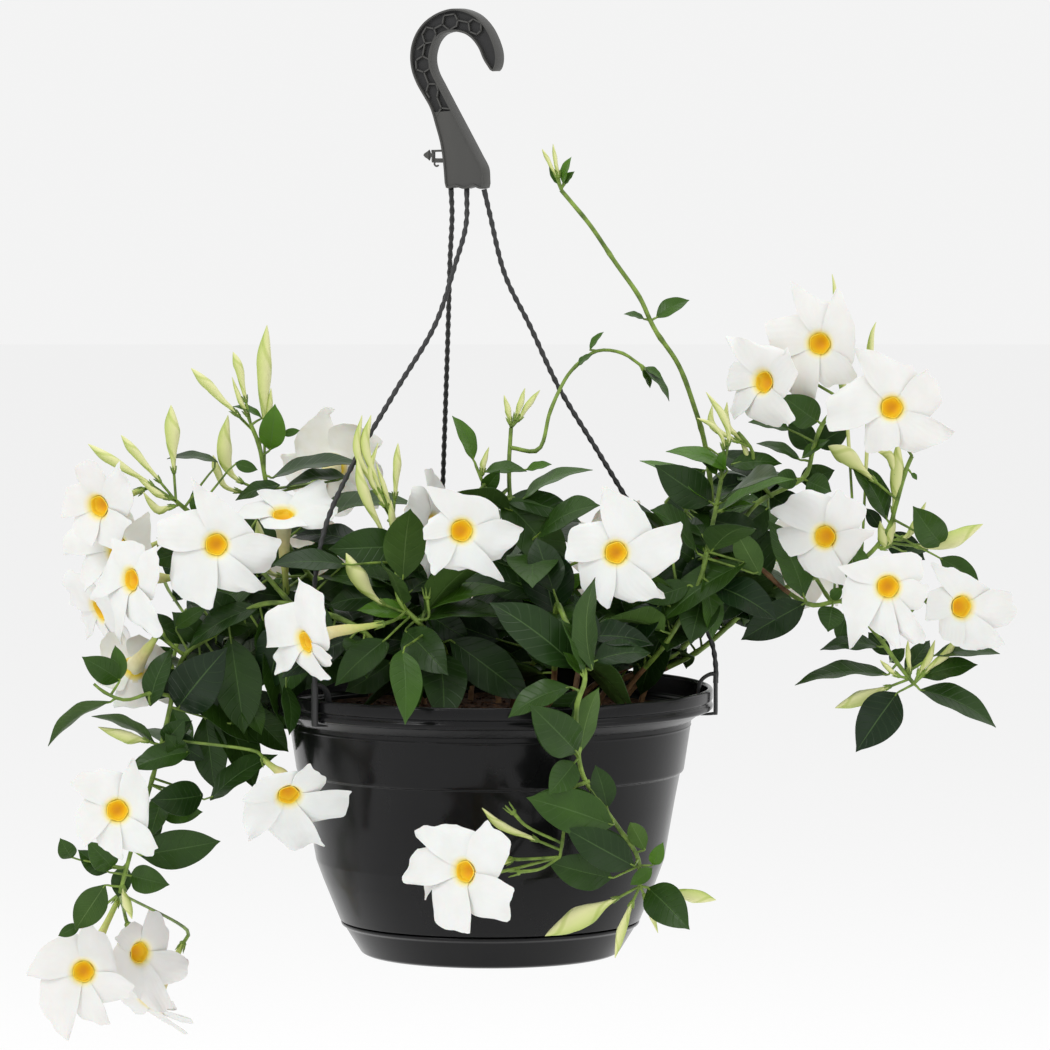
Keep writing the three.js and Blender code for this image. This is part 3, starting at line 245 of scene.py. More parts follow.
# The outside of the funnel is cream, with green towards its foot
trumpetFinish = {
    "roughness": 0.5, "specular": 0.35, "flesh": 0.1,
    "colors": [(0.0, (0.36, 0.47, 0.10)), (0.3, (0.55, 0.58, 0.18)), (0.62, (0.76, 0.66, 0.33)),
               (0.9, (0.82, 0.76, 0.52)), (1.0, (0.87, 0.86, 0.80))],
    "streaks": [(0.3, (0.86, 0.86, 0.76)), (0.7, (1.0, 1.0, 1.0))],
}


def trumpetMaterial():
    finish = trumpetFinish
    material, tree, shader = newMaterial("trumpetCream", finish["roughness"], finish["specular"])
    colors = rampNode(tree, attribute(tree, "reach"), finish["colors"])
    tint = rampNode(tree, noiseNode(tree, 260, 2), finish["streaks"])
    tree.links.new(blend(tree, "MULTIPLY", 0.8, colors, tint), shader.inputs["Base Color"])
    softFlesh(shader, finish["flesh"])
    return material


# Leaves have a midrib, side veins and a tone from old and dark to young and bright
leafFinishes = {
    "leafFace": {"dark": (0.0065, 0.021, 0.006), "bright": (0.075, 0.185, 0.014),
                 "vein": (0.085, 0.16, 0.045), "roughness": 0.33, "specular": 0.22},
    "leafBack": {"dark": (0.030, 0.068, 0.016), "bright": (0.105, 0.205, 0.030),
                 "vein": (0.16, 0.25, 0.08), "roughness": 0.55, "specular": 0.2},
}
leafVeins = {
    "pairs": 9, "slant": 0.34, "side": 0.06, "midrib": 0.5, "depth": 0.35,
    "sideRamp": [(0.86, (0, 0, 0)), (1.0, (1, 1, 1))], "midribRamp": [(0.006, (1, 1, 1)), (0.021, (0, 0, 0))],
    "blotches": [(0.3, (0.66, 0.70, 0.62)), (0.7, (1.2, 1.15, 1.05))],
}


def leafMaterial(name):
    finish, veins = leafFinishes[name], leafVeins
    material, tree, shader = newMaterial(name, finish["roughness"], finish["specular"])
    base = blend(tree, "MIX", attribute(tree, "tone"), finish["dark"], finish["bright"])
    blotch = noiseNode(tree, 45, 3)
    base = blend(tree, "MULTIPLY", 0.8, base, rampNode(tree, blotch, veins["blotches"]))
    x, y = flatPlace(tree)
    across = mathNode(tree, "ABSOLUTE", mathNode(tree, "SUBTRACT", x, 0.5))
    slant = mathNode(tree, "SUBTRACT", y, mathNode(tree, "MULTIPLY", across, veins["slant"]))
    wave = mathNode(tree, "COSINE", mathNode(tree, "MULTIPLY", slant, 2 * math.pi * veins["pairs"]))
    sideVein = rampNode(tree, wave, veins["sideRamp"])
    midrib = rampNode(tree, across, veins["midribRamp"])
    base = blend(tree, "MIX", mathNode(tree, "MULTIPLY", sideVein, veins["side"]), base, finish["vein"])
    base = blend(tree, "MIX", mathNode(tree, "MULTIPLY", midrib, veins["midrib"]), base, finish["vein"])
    tree.links.new(base, shader.inputs["Base Color"])
    dents = mathNode(tree, "ADD", sideVein, midrib)
    puff = mathNode(tree, "SUBTRACT", mathNode(tree, "MULTIPLY", blotch, 0.8), dents)
    addBump(tree, shader, puff, veins["depth"], 0.0005)
    return material


# Canes and stalks have two colours in streaks
caneFinishes = {
    "caneGreen": {"dark": (0.075, 0.130, 0.018), "light": (0.24, 0.36, 0.06), "roughness": 0.45},
    "caneWood": {"dark": (0.10, 0.045, 0.018), "light": (0.30, 0.17, 0.075), "roughness": 0.6},
}


def caneMaterial(name):
    finish = caneFinishes[name]
    material, tree, shader = newMaterial(name, finish["roughness"], 0.35)
    colors = rampNode(tree, noiseNode(tree, 120, 3), [(0.32, finish["dark"]), (0.68, finish["light"])])
    tree.links.new(colors, shader.inputs["Base Color"])
    addBump(tree, shader, noiseNode(tree, 900, 2), 0.2, 0.0002)
    return material


# Buds run from green at the foot to cream, with their furl as slanting seams
budFinish = {
    "roughness": 0.5, "specular": 0.35, "turns": 2, "slant": 9,
    "colors": [(0.0, (0.23, 0.36, 0.05)), (0.3, (0.42, 0.52, 0.11)), (0.6, (0.76, 0.76, 0.38)),
               (0.85, (0.80, 0.82, 0.47)), (1.0, (0.58, 0.68, 0.25))],
    "seams": [(0.0, (1, 1, 1)), (0.75, (1, 1, 1)), (1.0, (0.72, 0.80, 0.5))],
}


def budMaterial():
    finish = budFinish
    material, tree, shader = newMaterial("budCream", finish["roughness"], finish["specular"])
    x, y = flatPlace(tree)
    colors = rampNode(tree, x, finish["colors"])
    turn = mathNode(tree, "ADD", mathNode(tree, "MULTIPLY", x, finish["slant"]),
                    mathNode(tree, "MULTIPLY", y, 2 * math.pi * finish["turns"]))
    furl = mathNode(tree, "SINE", turn)
    seam = rampNode(tree, furl, finish["seams"])
    tree.links.new(blend(tree, "MULTIPLY", 0.8, colors, seam), shader.inputs["Base Color"])
    addBump(tree, shader, furl, 0.3, 0.0003)
    return material


# Moulded plastic is nearly black, with a fine grain and faint smears in its gloss
plasticFinishes = {
    "potPlastic": {"color": (0.0045, 0.0045, 0.005), "worn": (0.0085, 0.0085, 0.009), "roughness": 0.2,
                   "specular": 0.2, "grain": 700},
    "hangerPlastic": {"color": (0.044, 0.044, 0.042), "worn": (0.066, 0.065, 0.060), "roughness": 0.46,
                      "specular": 0.42, "grain": 1400},
    # A darker copy of the hanger plastic for the sunken web, painted shade for its recess; it is rougher as
    # well
    "hangerShadedWeb": {"color": (0.026, 0.026, 0.027), "worn": (0.037, 0.037, 0.037), "roughness": 0.6,
                   "specular": 0.25, "grain": 1400},
    # A darker copy of the hanger plastic for the strands and their clips, painted shade
    "strandShadedPlastic": {"color": (0.021, 0.022, 0.023), "worn": (0.034, 0.034, 0.034), "roughness": 0.4,
                      "specular": 0.35, "grain": 1400},
}


def plasticMaterial(name):
    finish = plasticFinishes[name]
    roughness = finish["roughness"]
    material, tree, shader = newMaterial(name, roughness, finish["specular"])
    smear = noiseNode(tree, 14, 4, 0.6, (1, 1, 0.35))
    colors = rampNode(tree, smear, [(0.3, finish["color"]), (0.75, finish["worn"])])
    tree.links.new(colors, shader.inputs["Base Color"])
    gloss = rampNode(tree, smear, [(0.35, (roughness * 0.8,) * 3), (0.7, (roughness * 1.35,) * 3)])
    tree.links.new(gloss, shader.inputs["Roughness"])
    addBump(tree, shader, noiseNode(tree, finish["grain"], 2), 0.12, 0.0003)
    return material


soilFinish = {
    "roughness": 0.95, "specular": 0.15,
    "crumbs": [(0.3, (0.008, 0.004, 0.003)), (0.5, (0.035, 0.016, 0.008)), (0.62, (0.09, 0.042, 0.018)),
               (0.75, (0.16, 0.09, 0.05))],
}


def soilMaterial():
    finish = soilFinish
    material, tree, shader = newMaterial("pottingMix", finish["roughness"], finish["specular"])
    crumbs = noiseNode(tree, 240, 5, 0.7)
    tree.links.new(rampNode(tree, crumbs, finish["crumbs"]), shader.inputs["Base Color"])
    addBump(tree, shader, crumbs, 0.9, 0.002)
    return material


petalWhite = petalMaterial()
petalUnder = underMaterial()
trumpetCream = trumpetMaterial()
leafFace = leafMaterial("leafFace")
leafBack = leafMaterial("leafBack")
caneGreen = caneMaterial("caneGreen")
caneWood = caneMaterial("caneWood")
budCream = budMaterial()
potPlastic = plasticMaterial("potPlastic")
hangerPlastic = plasticMaterial("hangerPlastic")
hangerShadedWeb = plasticMaterial("hangerShadedWeb")
strandShadedPlastic = plasticMaterial("strandShadedPlastic")
pottingMix = soilMaterial()
print("materials made")


# Pieces are built with bmesh in millimetres
def newPiece(name, build, materials, nodes, smooth=40):
    mesh = bpy.data.meshes.new(name)
    bmesh.ops.scale(build, vec=(mm, mm, mm), verts=build.verts)
    build.to_mesh(mesh)
    build.free()
    for material in materials:
        mesh.materials.append(material)
    mesh.shade_smooth()
    mesh.set_sharp_from_angle(angle=math.radians(smooth))
    piece = bpy.data.objects.new(name, mesh)
    scene.collection.objects.link(piece)
    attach(piece, "root")
    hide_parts(*nodes)


# A fresh mesh that has its layers from the start
def newBuild():
    build = bmesh.new()
    build.loops.layers.uv.verify()
    for name in ("reach", "side", "tone"):
        build.verts.layers.float.new(name)
    return build


def sweepSteps(fine):
    return fine


# A profile (radius, height) turned about the upright through the centre; both its ends lie there
def turned(build, profile, centre, steps):
    verts = [build.verts.new((centre.x + r, centre.y, centre.z + z)) for r, z in profile]
    edges = [build.edges.new(pair) for pair in zip(verts, verts[1:])]
    bmesh.ops.spin(build, geom=verts + edges, cent=centre, axis=up, angle=2 * math.pi, steps=steps,
                   use_merge=True)
    bmesh.ops.remove_doubles(build, verts=build.verts, dist=0.004)
    bmesh.ops.recalc_face_normals(build, faces=build.faces)


# The corners of a profile cut by a few short runs
def rounded(profile, radius, runs=3):
    out = []
    for i, (r, z, *given) in enumerate(profile):
        here = Vector((r, z))
        size = given[0] if given else radius
        if i in (0, len(profile) - 1) or size == 0:
            out.append((r, z))
            continue
        before = Vector(profile[i - 1][:2]) - here
        after = Vector(profile[i + 1][:2]) - here
        size = min(size, before.length * 0.45, after.length * 0.45)
        a = here + before.normalized() * size
        b = here + after.normalized() * size
        for k in range(runs + 1):
            t = k / runs
            spot = a * (1 - t) ** 2 + here * (2 * t * (1 - t)) + b * t ** 2
            out.append((spot.x, spot.y))
    return out


# Pot: a grooved rim in two bands, fine ring lines on the wall, a step under them and a closed foot
pot = {
    "axis": Vector((20, 0, -396)), "steps": 144, "edge": 0.8,
    "outside": [(0, -158.5), (75, -158.5, 2), (84.6, -141.8), (91, -141.4), (101, -117), (105.6, -104.6),
                (112, -68), (115.2, -51.4), (117.0, -50.6), (117.5, -49.2), (121.4, -23.4), (121.9, -22.5),
                (121.55, -21.8), (122.3, -17.8), (122.75, -17.0), (122.4, -16.2), (123.2, -13.6),
                (126.5, -13.2), (132.9, -13.6), (134.9, -12.4), (135.1, -10.2), (134.1, -8.9, 0.3),
                (133.9, -7.9, 0.3), (134.9, -7.0), (135, -1.2, 1.1), (133.7, 0.1, 0.6)],
    "inside": [(132.4, 0.05, 0.6), (131.6, -1.2), (131.3, -12.2), (119.2, -21.5), (118.6, -24), (103.2, -104),
               (88.6, -139.2), (82.3, -141), (74, -156), (0, -156)],
}


def makePot():
    build = bmesh.new()
    profile = rounded(pot["outside"] + pot["inside"], pot["edge"])
    turned(build, profile, pot["axis"], sweepSteps(pot["steps"]))
    newPiece("potShell", build, [potPlastic], ["pot"])


# Saucer: a shallow cup under the foot, with its rolled lip and a foot ring
saucer = {
    "steps": 144, "edge": 0.7,
    "profile": [(0, -161.2), (60, -161.2, 0.4), (62, -162.0, 0.4), (76, -162.05, 1.5), (78.6, -160.6),
                (88.2, -145.2), (90.3, -143.9), (90.7, -142.6), (90.1, -142.1), (85.3, -142.2),
                (84.9, -143.0), (76.7, -158.6), (0, -158.85)],
}


def makeSaucer():
    build = bmesh.new()
    turned(build, rounded(saucer["profile"], saucer["edge"]), pot["axis"], sweepSteps(saucer["steps"]))
    newPiece("saucerCup", build, [potPlastic], ["drip_saucer"])


# Soil: a heaped, crumbly top with bits of bark lying on it
soil = {
    "steps": 96, "top": -14.0, "radius": 124.4, "rings": 34, "chips": 330, "margin": 6,
    "heave": 2.6, "bumps": ((0.045, 0.8), (0.13, 0.45), (0.42, 0.3)),
    "under": [(0, -155.6), (73.4, -155.6), (81.7, -141.5), (88.0, -139.6), (102.5, -104.1), (117.9, -23.2)],
}


def soilHeight(x, y, radius):
    spot = Vector((x, y, 0))
    bumps = sum(noise.noise(spot * fine) * height for fine, height in soil["bumps"])
    edge = clamp((soil["radius"] - radius) / 10, 0, 1)
    return soil["top"] - 1.5 - 1.2 * edge + soil["heave"] * bumps * edge


def makeSoil():
    build = bmesh.new()
    centre = pot["axis"]
    rings = [(soil["radius"] * k / soil["rings"], soil["top"]) for k in range(soil["rings"], -1, -1)]
    turned(build, soil["under"] + rings, centre, sweepSteps(soil["steps"]))
    for vert in build.verts:
        x, y = vert.co.x - centre.x, vert.co.y
        if vert.co.z > centre.z + soil["top"] - 1:
            vert.co.z = centre.z + soilHeight(x, y, math.hypot(x, y))
    for _ in range(soil["chips"]):
        angle = chance.uniform(0, 2 * math.pi)
        radius = (soil["radius"] - soil["margin"]) * math.sqrt(chance.random())
        x, y = math.cos(angle) * radius, math.sin(angle) * radius
        chip = bmesh.ops.create_icosphere(build, subdivisions=1, radius=1)["verts"]
        size = Vector((chance.uniform(0.8, 3.6), chance.uniform(0.7, 2.0), chance.uniform(0.4, 1.2)))
        place = Vector((centre.x + x, y, centre.z + soilHeight(x, y, radius) + size.z * 0.35))
        spun = Matrix.Rotation(chance.uniform(0, math.pi), 4, "Z")
        tilt = Matrix.Rotation(chance.uniform(-0.4, 0.4), 4, "X")
        for vert in chip:
            vert.co = vert.co * chance.uniform(0.75, 1.1)
        stand = Matrix.Translation(place) @ spun @ tilt @ Matrix.Diagonal((*size, 1))
        bmesh.ops.transform(build, matrix=stand, verts=chip)
    newPiece("soilTop", build, [pottingMix], ["soil"])


makePot()
makeSaucer()
makeSoil()
print("pot, saucer and soil made")


# Blooms: the mouth's pixel and depth, the way it faces (to the right, upwards) and its petals.
# A petal is its pointed corner, and its blunt one where it shows. The others are spread by a rule.
blooms = {
    "a": {
        "at": (97, 507, -25),
        "face": (-35, -10),
        "cup": 10,
        "petals": (
            (122, 460, 132, 500), (72, 466, 91, 457), (62, 517, 63, 492), (88, 537, 66, 530),
            (130, 522))},
    "b": {
        "at": (216, 545, -70),
        "face": (0, 0),
        "petals": (
            (190, 474, 233, 506), (157, 545, 153, 520), (212, 610, 168, 592), (266, 589, 240, 594),
            (281, 540, 272, 572))},
    "c": {
        "at": (283, 512, -38),
        "face": (0, 62),
        "base": (286, 592),
        "petals": ((340, 508), (318, 480), (255, 492), (235, 520), (306, 526))},
    "d": {
        "at": (129, 580, -58),
        "face": (-48, 0),
        "base": (182, 578),
        "petals": (
            (157, 546, 158, 560), (112, 538, 140, 540), (92, 600, 100, 572), (118, 645, 112, 620),
            (160, 615, 175, 600))},
    "e": {
        "at": (116, 548, -8),
        "face": (-35, 12),
        "base": (165, 540),
        "petals": ((150, 512), (106, 506), (60, 555, 62, 520), (84, 592), (140, 585))},
    "f": {
        "at": (96, 612, 24),
        "face": (-65, -25),
        "petals": ((107, 575), (86, 573), (62, 600, 64, 645), (82, 657), (115, 645))},
    "g": {"at": (132, 670, -22), "face": (-150, -35), "roll": 20, "reach": 31},
    "h": {
        "at": (303, 643, -132),
        "face": (-55, -15),
        "base": (382, 624),
        "petals": (
            (300, 571, 318, 587), (238, 650, 262, 625), (268, 684, 262, 662), (333, 680, 312, 668),
            (333, 655))},
    "i": {"at": (335, 466, 90), "face": (165, 8), "roll": 10, "reach": 37},
    "j": {
        "at": (462, 531, -112),
        "face": (10, 0),
        "petals": (
            (424, 484, 500, 503), (423, 540, 430, 526), (433, 577, 426, 560), (506, 584, 470, 568),
            (524, 530, 508, 556))},
    "k": {
        "at": (616, 553, -120),
        "face": (0, 0),
        "petals": (
            (602, 485, 640, 500), (566, 560, 566, 528), (608, 611, 580, 590), (664, 598, 640, 606),
            (686, 520, 682, 560))},
    "l": {
        "at": (762, 382, -25),
        "face": (-40, 5),
        "base": (793, 362),
        "petals": (
            (725, 335, 762, 352), (729, 392, 726, 362), (735, 420, 729, 410), (797, 421, 780, 428),
            (790, 352, 800, 372))},
    "m": {
        "at": (819, 344, -10),
        "face": (-12, 0),
        "petals": (
            (790, 280, 824, 300), (771, 357, 762, 320), (812, 409, 797, 405), (858, 378, 826, 391),
            (838, 286, 857, 325))},
    "n": {
        "at": (892, 408, -30),
        "face": (0, 0),
        "petals": (
            (852, 345, 907, 360), (829, 431, 824, 399), (898, 440, 862, 458), (958, 434, 922, 455),
            (929, 368, 948, 400))},
    "o": {
        "at": (824, 537, -60),
        "face": (-20, 0),
        "petals": (
            (838, 489, 868, 508), (771, 512, 798, 487), (797, 553, 770, 525), (848, 586, 808, 578),
            (877, 530, 862, 545))},
    "p": {
        "at": (888, 587, -84),
        "face": (0, 0),
        "petals": (
            (836, 567, 920, 547), (851, 649, 840, 600), (902, 651, 880, 640), (928, 640, 918, 648),
            (928, 588, 924, 612))},
    "q": {
        "at": (963, 607, -48),
        "face": (25, 0),
        "petals": (
            (930, 563, 952, 570), (926, 620, 926, 592), (962, 634, 940, 642),
            (1006, 645, 990, 653), (1012, 592, 1020, 622))},
    "r": {
        "at": (117, 811, -88),
        "face": (0, 0),
        "petals": (
            (133, 758, 150, 785), (68, 781, 100, 765), (83, 848, 72, 822), (122, 860),
            (158, 850, 150, 858))},
    "s": {
        "at": (83, 972, -30),
        "face": (0, 0),
        "base": (118, 900),
        "petals": (
            (85, 920, 110, 935), (25, 975, 45, 940), (68, 1040, 40, 1020), (110, 1025),
            (135, 985, 128, 1000))},
    "t": {
        "at": (141, 953, -5),
        "face": (38, 0),
        "base": (128, 925),
        "petals": ((150, 905), (127, 945), (140, 1000), (178, 1017, 160, 1015), (189, 960, 186, 985))},
    "u": {"at": (150, 1006, 44), "face": (-50, -55), "roll": 60, "reach": 34},
    "v": {
        "at": (289, 797, -104),
        "face": (10, -30),
        "base": (264, 760),
        "petals": (
            (310, 763, 330, 780), (241, 800, 262, 780), (250, 842, 240, 825), (330, 855, 290, 862),
            (352, 790, 350, 820))},
    "w": {
        "at": (463, 872, -160),
        "face": (-35, 0),
        "base": (510, 860),
        "petals": (
            (485, 822, 512, 840), (405, 825, 440, 822), (397, 885, 398, 850), (470, 935, 425, 925),
            (516, 890, 505, 925))},
    "x": {"at": (441, 866, -130), "face": (-60, 10), "roll": 100, "reach": 24, "short": True},
    "y": {"at": (436, 526, -44), "face": (60, 10), "roll": 95, "reach": 37, "base": (400, 520)},
    "back_a": {"at": (300, 560, 150), "face": (190, 15), "roll": 80, "reach": 38},
    "back_b": {"at": (618, 556, 165), "face": (172, 5), "roll": 40, "reach": 38},
    "back_c": {"at": (806, 560, 168), "face": (150, -5), "roll": 15, "reach": 37},
    "back_d": {"at": (455, 640, 185), "face": (185, -15), "roll": 60, "reach": 38}}

bloomForm = {
    "mouth": 7.0, "funnel": 21, "trumpet": 44, "shortTrumpet": 26, "shortFunnel": 14, "reach": 38,
    "notch": 0.63, "columns": 15, "rows": 14, "sides": 20, "thickness": 0.35, "overlap": 0.2,
    "raise": 1.7, "curl": 3.6, "wave": 2.1, "ruffle": 0.07, "crown": 1.4, "dip": 4.3, "dipRun": 1.7,
    "throatDepth": 4.7, "throatRadius": 5.7, "throatFloor": 3.6, "wall": 0.4, "yellowDepth": 18,
    "tubeRows": 22, "tubeStart": 1.9,
    "tubeRadii": [6.3, 5.75, 5.3, 4.9, 4.5, 4.1, 3.7, 3.45, 3.3, 3.3, 3.1, 2.6, 2.2, 2.0, 1.9, 1.8, 1.75,
                  1.7],
}
# Blooms that are past their best hang and crumple more
worn = {
    "x": {"curl": 9, "wave": 3.4}, "w": {"curl": 4.5, "wave": 2.0}, "u": {"curl": 4, "wave": 1.8},
    "g": {"curl": 4, "wave": 1.6}, "f": {"curl": 3.6, "wave": 1.8}, "t": {"curl": 3.2, "wave": 1.4},
}


# The axes of a bloom: out of its mouth, upwards and to its right
def bloomAxes(face):
    yaw, pitch = (math.radians(angle) for angle in face)
    out = Vector((math.sin(yaw) * math.cos(pitch), -math.cos(yaw) * math.cos(pitch), math.sin(pitch)))
    upward = (up - out * up.dot(out)).normalized()
    return out, upward, upward.cross(out)


# A pixel as an angle and a reach on the bloom's disc
def onDisc(bloom, px, py):
    out, upward, right = bloomAxes(bloom["face"])
    centre, start = seen(*bloom["at"]), seen(px, py, 0)
    ray = seen(px, py, 1) - start
    depth = (bloom.get("cup", 0) - (start - centre).dot(out)) / ray.dot(out)
    arm = start + ray * depth - centre
    x, y = arm.dot(right), arm.dot(upward)
    return math.atan2(y, x), clamp(math.hypot(x, y), 24, bloomForm["reach"] * 1.15)


# Each petal's blunt and pointed corners, with the notches on both of its sides
def petalCorners(bloom):
    tips = []
    if "petals" in bloom:
        for px, py, *blunt in bloom["petals"]:
            angle, reach = onDisc(bloom, px, py)
            tips.append((angle % (2 * math.pi), reach, onDisc(bloom, *blunt) if blunt else None))
    else:
        for i in range(5):
            tips.append((math.radians(bloom["roll"] + 72 * i) % (2 * math.pi), bloom["reach"], None))
    tips.sort(key=lambda tip: tip[0])
    corners = []
    for i, (angle, reach, blunt) in enumerate(tips):
        before = tips[i - 1][0] - (2 * math.pi if i == 0 else 0)
        room = angle - before
        bluntAngle, bluntReach = before + 0.44 * room, reach * 0.9
        if blunt:
            given = (blunt[0] - before) % (2 * math.pi)
            bluntAngle, bluntReach = before + clamp(given, 0.32 * room, 0.72 * room), blunt[1]
        after = tips[(i + 1) % 5][0] + (2 * math.pi if i == 4 else 0)
        corners.append({
            "notch": before + 0.14 * room, "next": angle + 0.14 * (after - angle),
            "blunt": (bluntAngle, bluntReach), "tip": (angle, reach)})
    return corners


def bloomBase(bloom):
    length = bloomForm["shortTrumpet"] if bloom.get("short") else bloomForm["trumpet"]
    straight = seen(*bloom["at"]) - bloomAxes(bloom["face"])[0] * length
    return seen(*bloom["base"], straight.y) if "base" in bloom else straight


def bloomInward(bloom):
    return (bloomBase(bloom) - seen(*bloom["at"])).normalized()


def polar(angle, reach):
    return Vector((math.cos(angle) * reach, math.sin(angle) * reach, 0))


# A grid of faces with every corner moved to its place; its values go to the named layers
def sheet(build, columns, rows, placeOf, values, material=0):
    made = bmesh.ops.create_grid(build, x_segments=columns, y_segments=rows, size=0.5)["verts"]
    layers = {name: build.verts.layers.float[name] for name in values}
    flat = build.loops.layers.uv.verify()
    spots = {vert: (vert.co.x + 0.5, vert.co.y + 0.5) for vert in made}
    faces = {face for vert in made for face in vert.link_faces}
    for face in faces:
        face.material_index = material
        for loop in face.loops:
            loop[flat].uv = spots[loop.vert]
    for vert, (a, b) in spots.items():
        vert.co = placeOf(a, b)
        for name, valueOf in values.items():
            vert[layers[name]] = valueOf(a, b)
    return made, list(faces)


def thicken(build, faces, thickness):
    bmesh.ops.recalc_face_normals(build, faces=faces)
    bmesh.ops.solidify(build, geom=faces, thickness=thickness)


# The faces that are left of a sheet once its doubles are merged
def merged(build, made, faces, gap):
    bmesh.ops.remove_doubles(build, verts=made, dist=gap)
    return [face for face in faces if face.is_valid]


# Directions along a way, each with a side direction that doesn't twist
def framesOf(way, sideways=None):
    frames = []
    for i, spot in enumerate(way):
        ahead = (way[min(i + 1, len(way) - 1)] - way[max(i - 1, 0)]).normalized()
        if not frames:
            start = sideways or (Vector((0, 1, 0)) if abs(ahead.y) < 0.9 else Vector((1, 0, 0)))
            side = (start - ahead * start.dot(ahead)).normalized()
        else:
            side = frames[-1][2]
            side = (side - ahead * side.dot(ahead)).normalized()
        frames.append((spot, ahead, side))
    return frames


# A closed tube along a way: its two ends are drawn together
def tube(build, way, radiusOf, sides, material=0, lobes=None, sideways=None):
    frames = framesOf(way, sideways)
    rows = len(way) + 1

    def placeOf(a, b):
        k = round(b * rows)
        spot, ahead, side = frames[clamp(k - 1, 0, len(way) - 1)]
        if k in (0, rows):
            return spot.copy()
        t = (k - 1) / (len(way) - 1)
        angle = a * 2 * math.pi
        wide, thick = lobes(angle, t) if lobes else (1, 1)
        arm = side * math.cos(angle) * wide + ahead.cross(side) * math.sin(angle) * thick
        return spot + arm * radiusOf(t)

    made, faces = sheet(build, sides, rows, placeOf, {}, material)
    faces = merged(build, made, faces, 0.0005)
    bmesh.ops.recalc_face_normals(build, faces=faces)
    return faces


# A petal is a patch between four lines: its start at the throat, its two sides and its rim
def makePetal(build, bloom, corner, form, draw):
    mouth, reach = form["mouth"] * 0.8, form["reach"]
    notchReach = min(reach, corner["tip"][1]) * form["notch"]
    bluntAt, tipAt = polar(*corner["blunt"]), polar(*corner["tip"])
    first, last = corner["notch"] - form["overlap"], corner["next"] + 0.06
    startLeft, startRight = polar(first, mouth), polar(last, mouth)
    leftNotch = polar(corner["notch"] - form["overlap"] * 0.75, notchReach)
    rightNotch = polar(corner["next"] - 0.03, notchReach)
    shoulder = leftNotch.lerp(bluntAt, 0.62) * 1.03
    flank = rightNotch.lerp(tipAt, 0.72) * 1.01
    middle = bluntAt.lerp(tipAt, 0.52) * 0.985
    left = smoothWay([startLeft, leftNotch, shoulder], 24)
    right = smoothWay([startRight, rightNotch, flank], 24)
    rounding = bluntAt * 0.955 + (shoulder - bluntAt) * 0.1 + (tipAt - bluntAt) * 0.06
    point = bluntAt.lerp(tipAt, 0.86) * 0.995
    rim = smoothWay([shoulder, rounding, middle, point, tipAt * 0.995, flank], 36)
    base = [polar(mix(first, last, k / 12), mouth) for k in range(13)]

    def pointOf(line, t):
        place = clamp(t, 0, 1) * (len(line) - 1)
        low = min(int(place), len(line) - 2)
        return line[low].lerp(line[low + 1], place - low)

    def patch(a, b):
        sides = pointOf(left, b) * (1 - a) + pointOf(right, b) * a
        ends = pointOf(base, a) * (1 - b) + pointOf(rim, a) * b
        starts = startLeft * ((1 - b) * (1 - a)) + startRight * ((1 - b) * a)
        return sides + ends - starts - shoulder * (b * (1 - a)) - flank * (b * a)

    def placeOf(a, b):
        spot = patch(a, b ** 0.85) * (1 + form["ruffle"] * b ** 4 * noise.noise(Vector((a * 4.6, draw, 0.5))))
        radius = math.hypot(spot.x, spot.y)
        far = clamp((radius - mouth) / (reach - mouth), 0, 1.2)
        height = bloom.get("cup", 0) * clamp((radius - 7) / 31, 0, 1.1)
        height -= form["dip"] * math.exp(-(radius - mouth) / form["dipRun"])
        height += form["raise"] * (a ** 2.5 - (1 - a) ** 2.5 * 0.8) * clamp(far * 2.2, 0.3, 1)
        height -= form["curl"] * (far ** 3) * (0.35 + 0.65 * (1 - a) ** 2)
        height += form["crown"] * math.sin(math.pi * clamp(a, 0, 1)) * far * (1 - far * 0.55)
        height += form["wave"] * far ** 2 * noise.noise(Vector((spot.x * 0.09, spot.y * 0.09, draw)))
        height += form["wave"] * 0.7 * far ** 3 * math.sin(a * 9 + draw)
        return Vector((spot.x, spot.y, height))

    def reachOf(a, b):
        spot = placeOf(a, b)
        return math.hypot(spot.x, spot.y) / 8

    return sheet(build, form["columns"], form["rows"], placeOf, {"reach": reachOf, "side": lambda a, b: a})


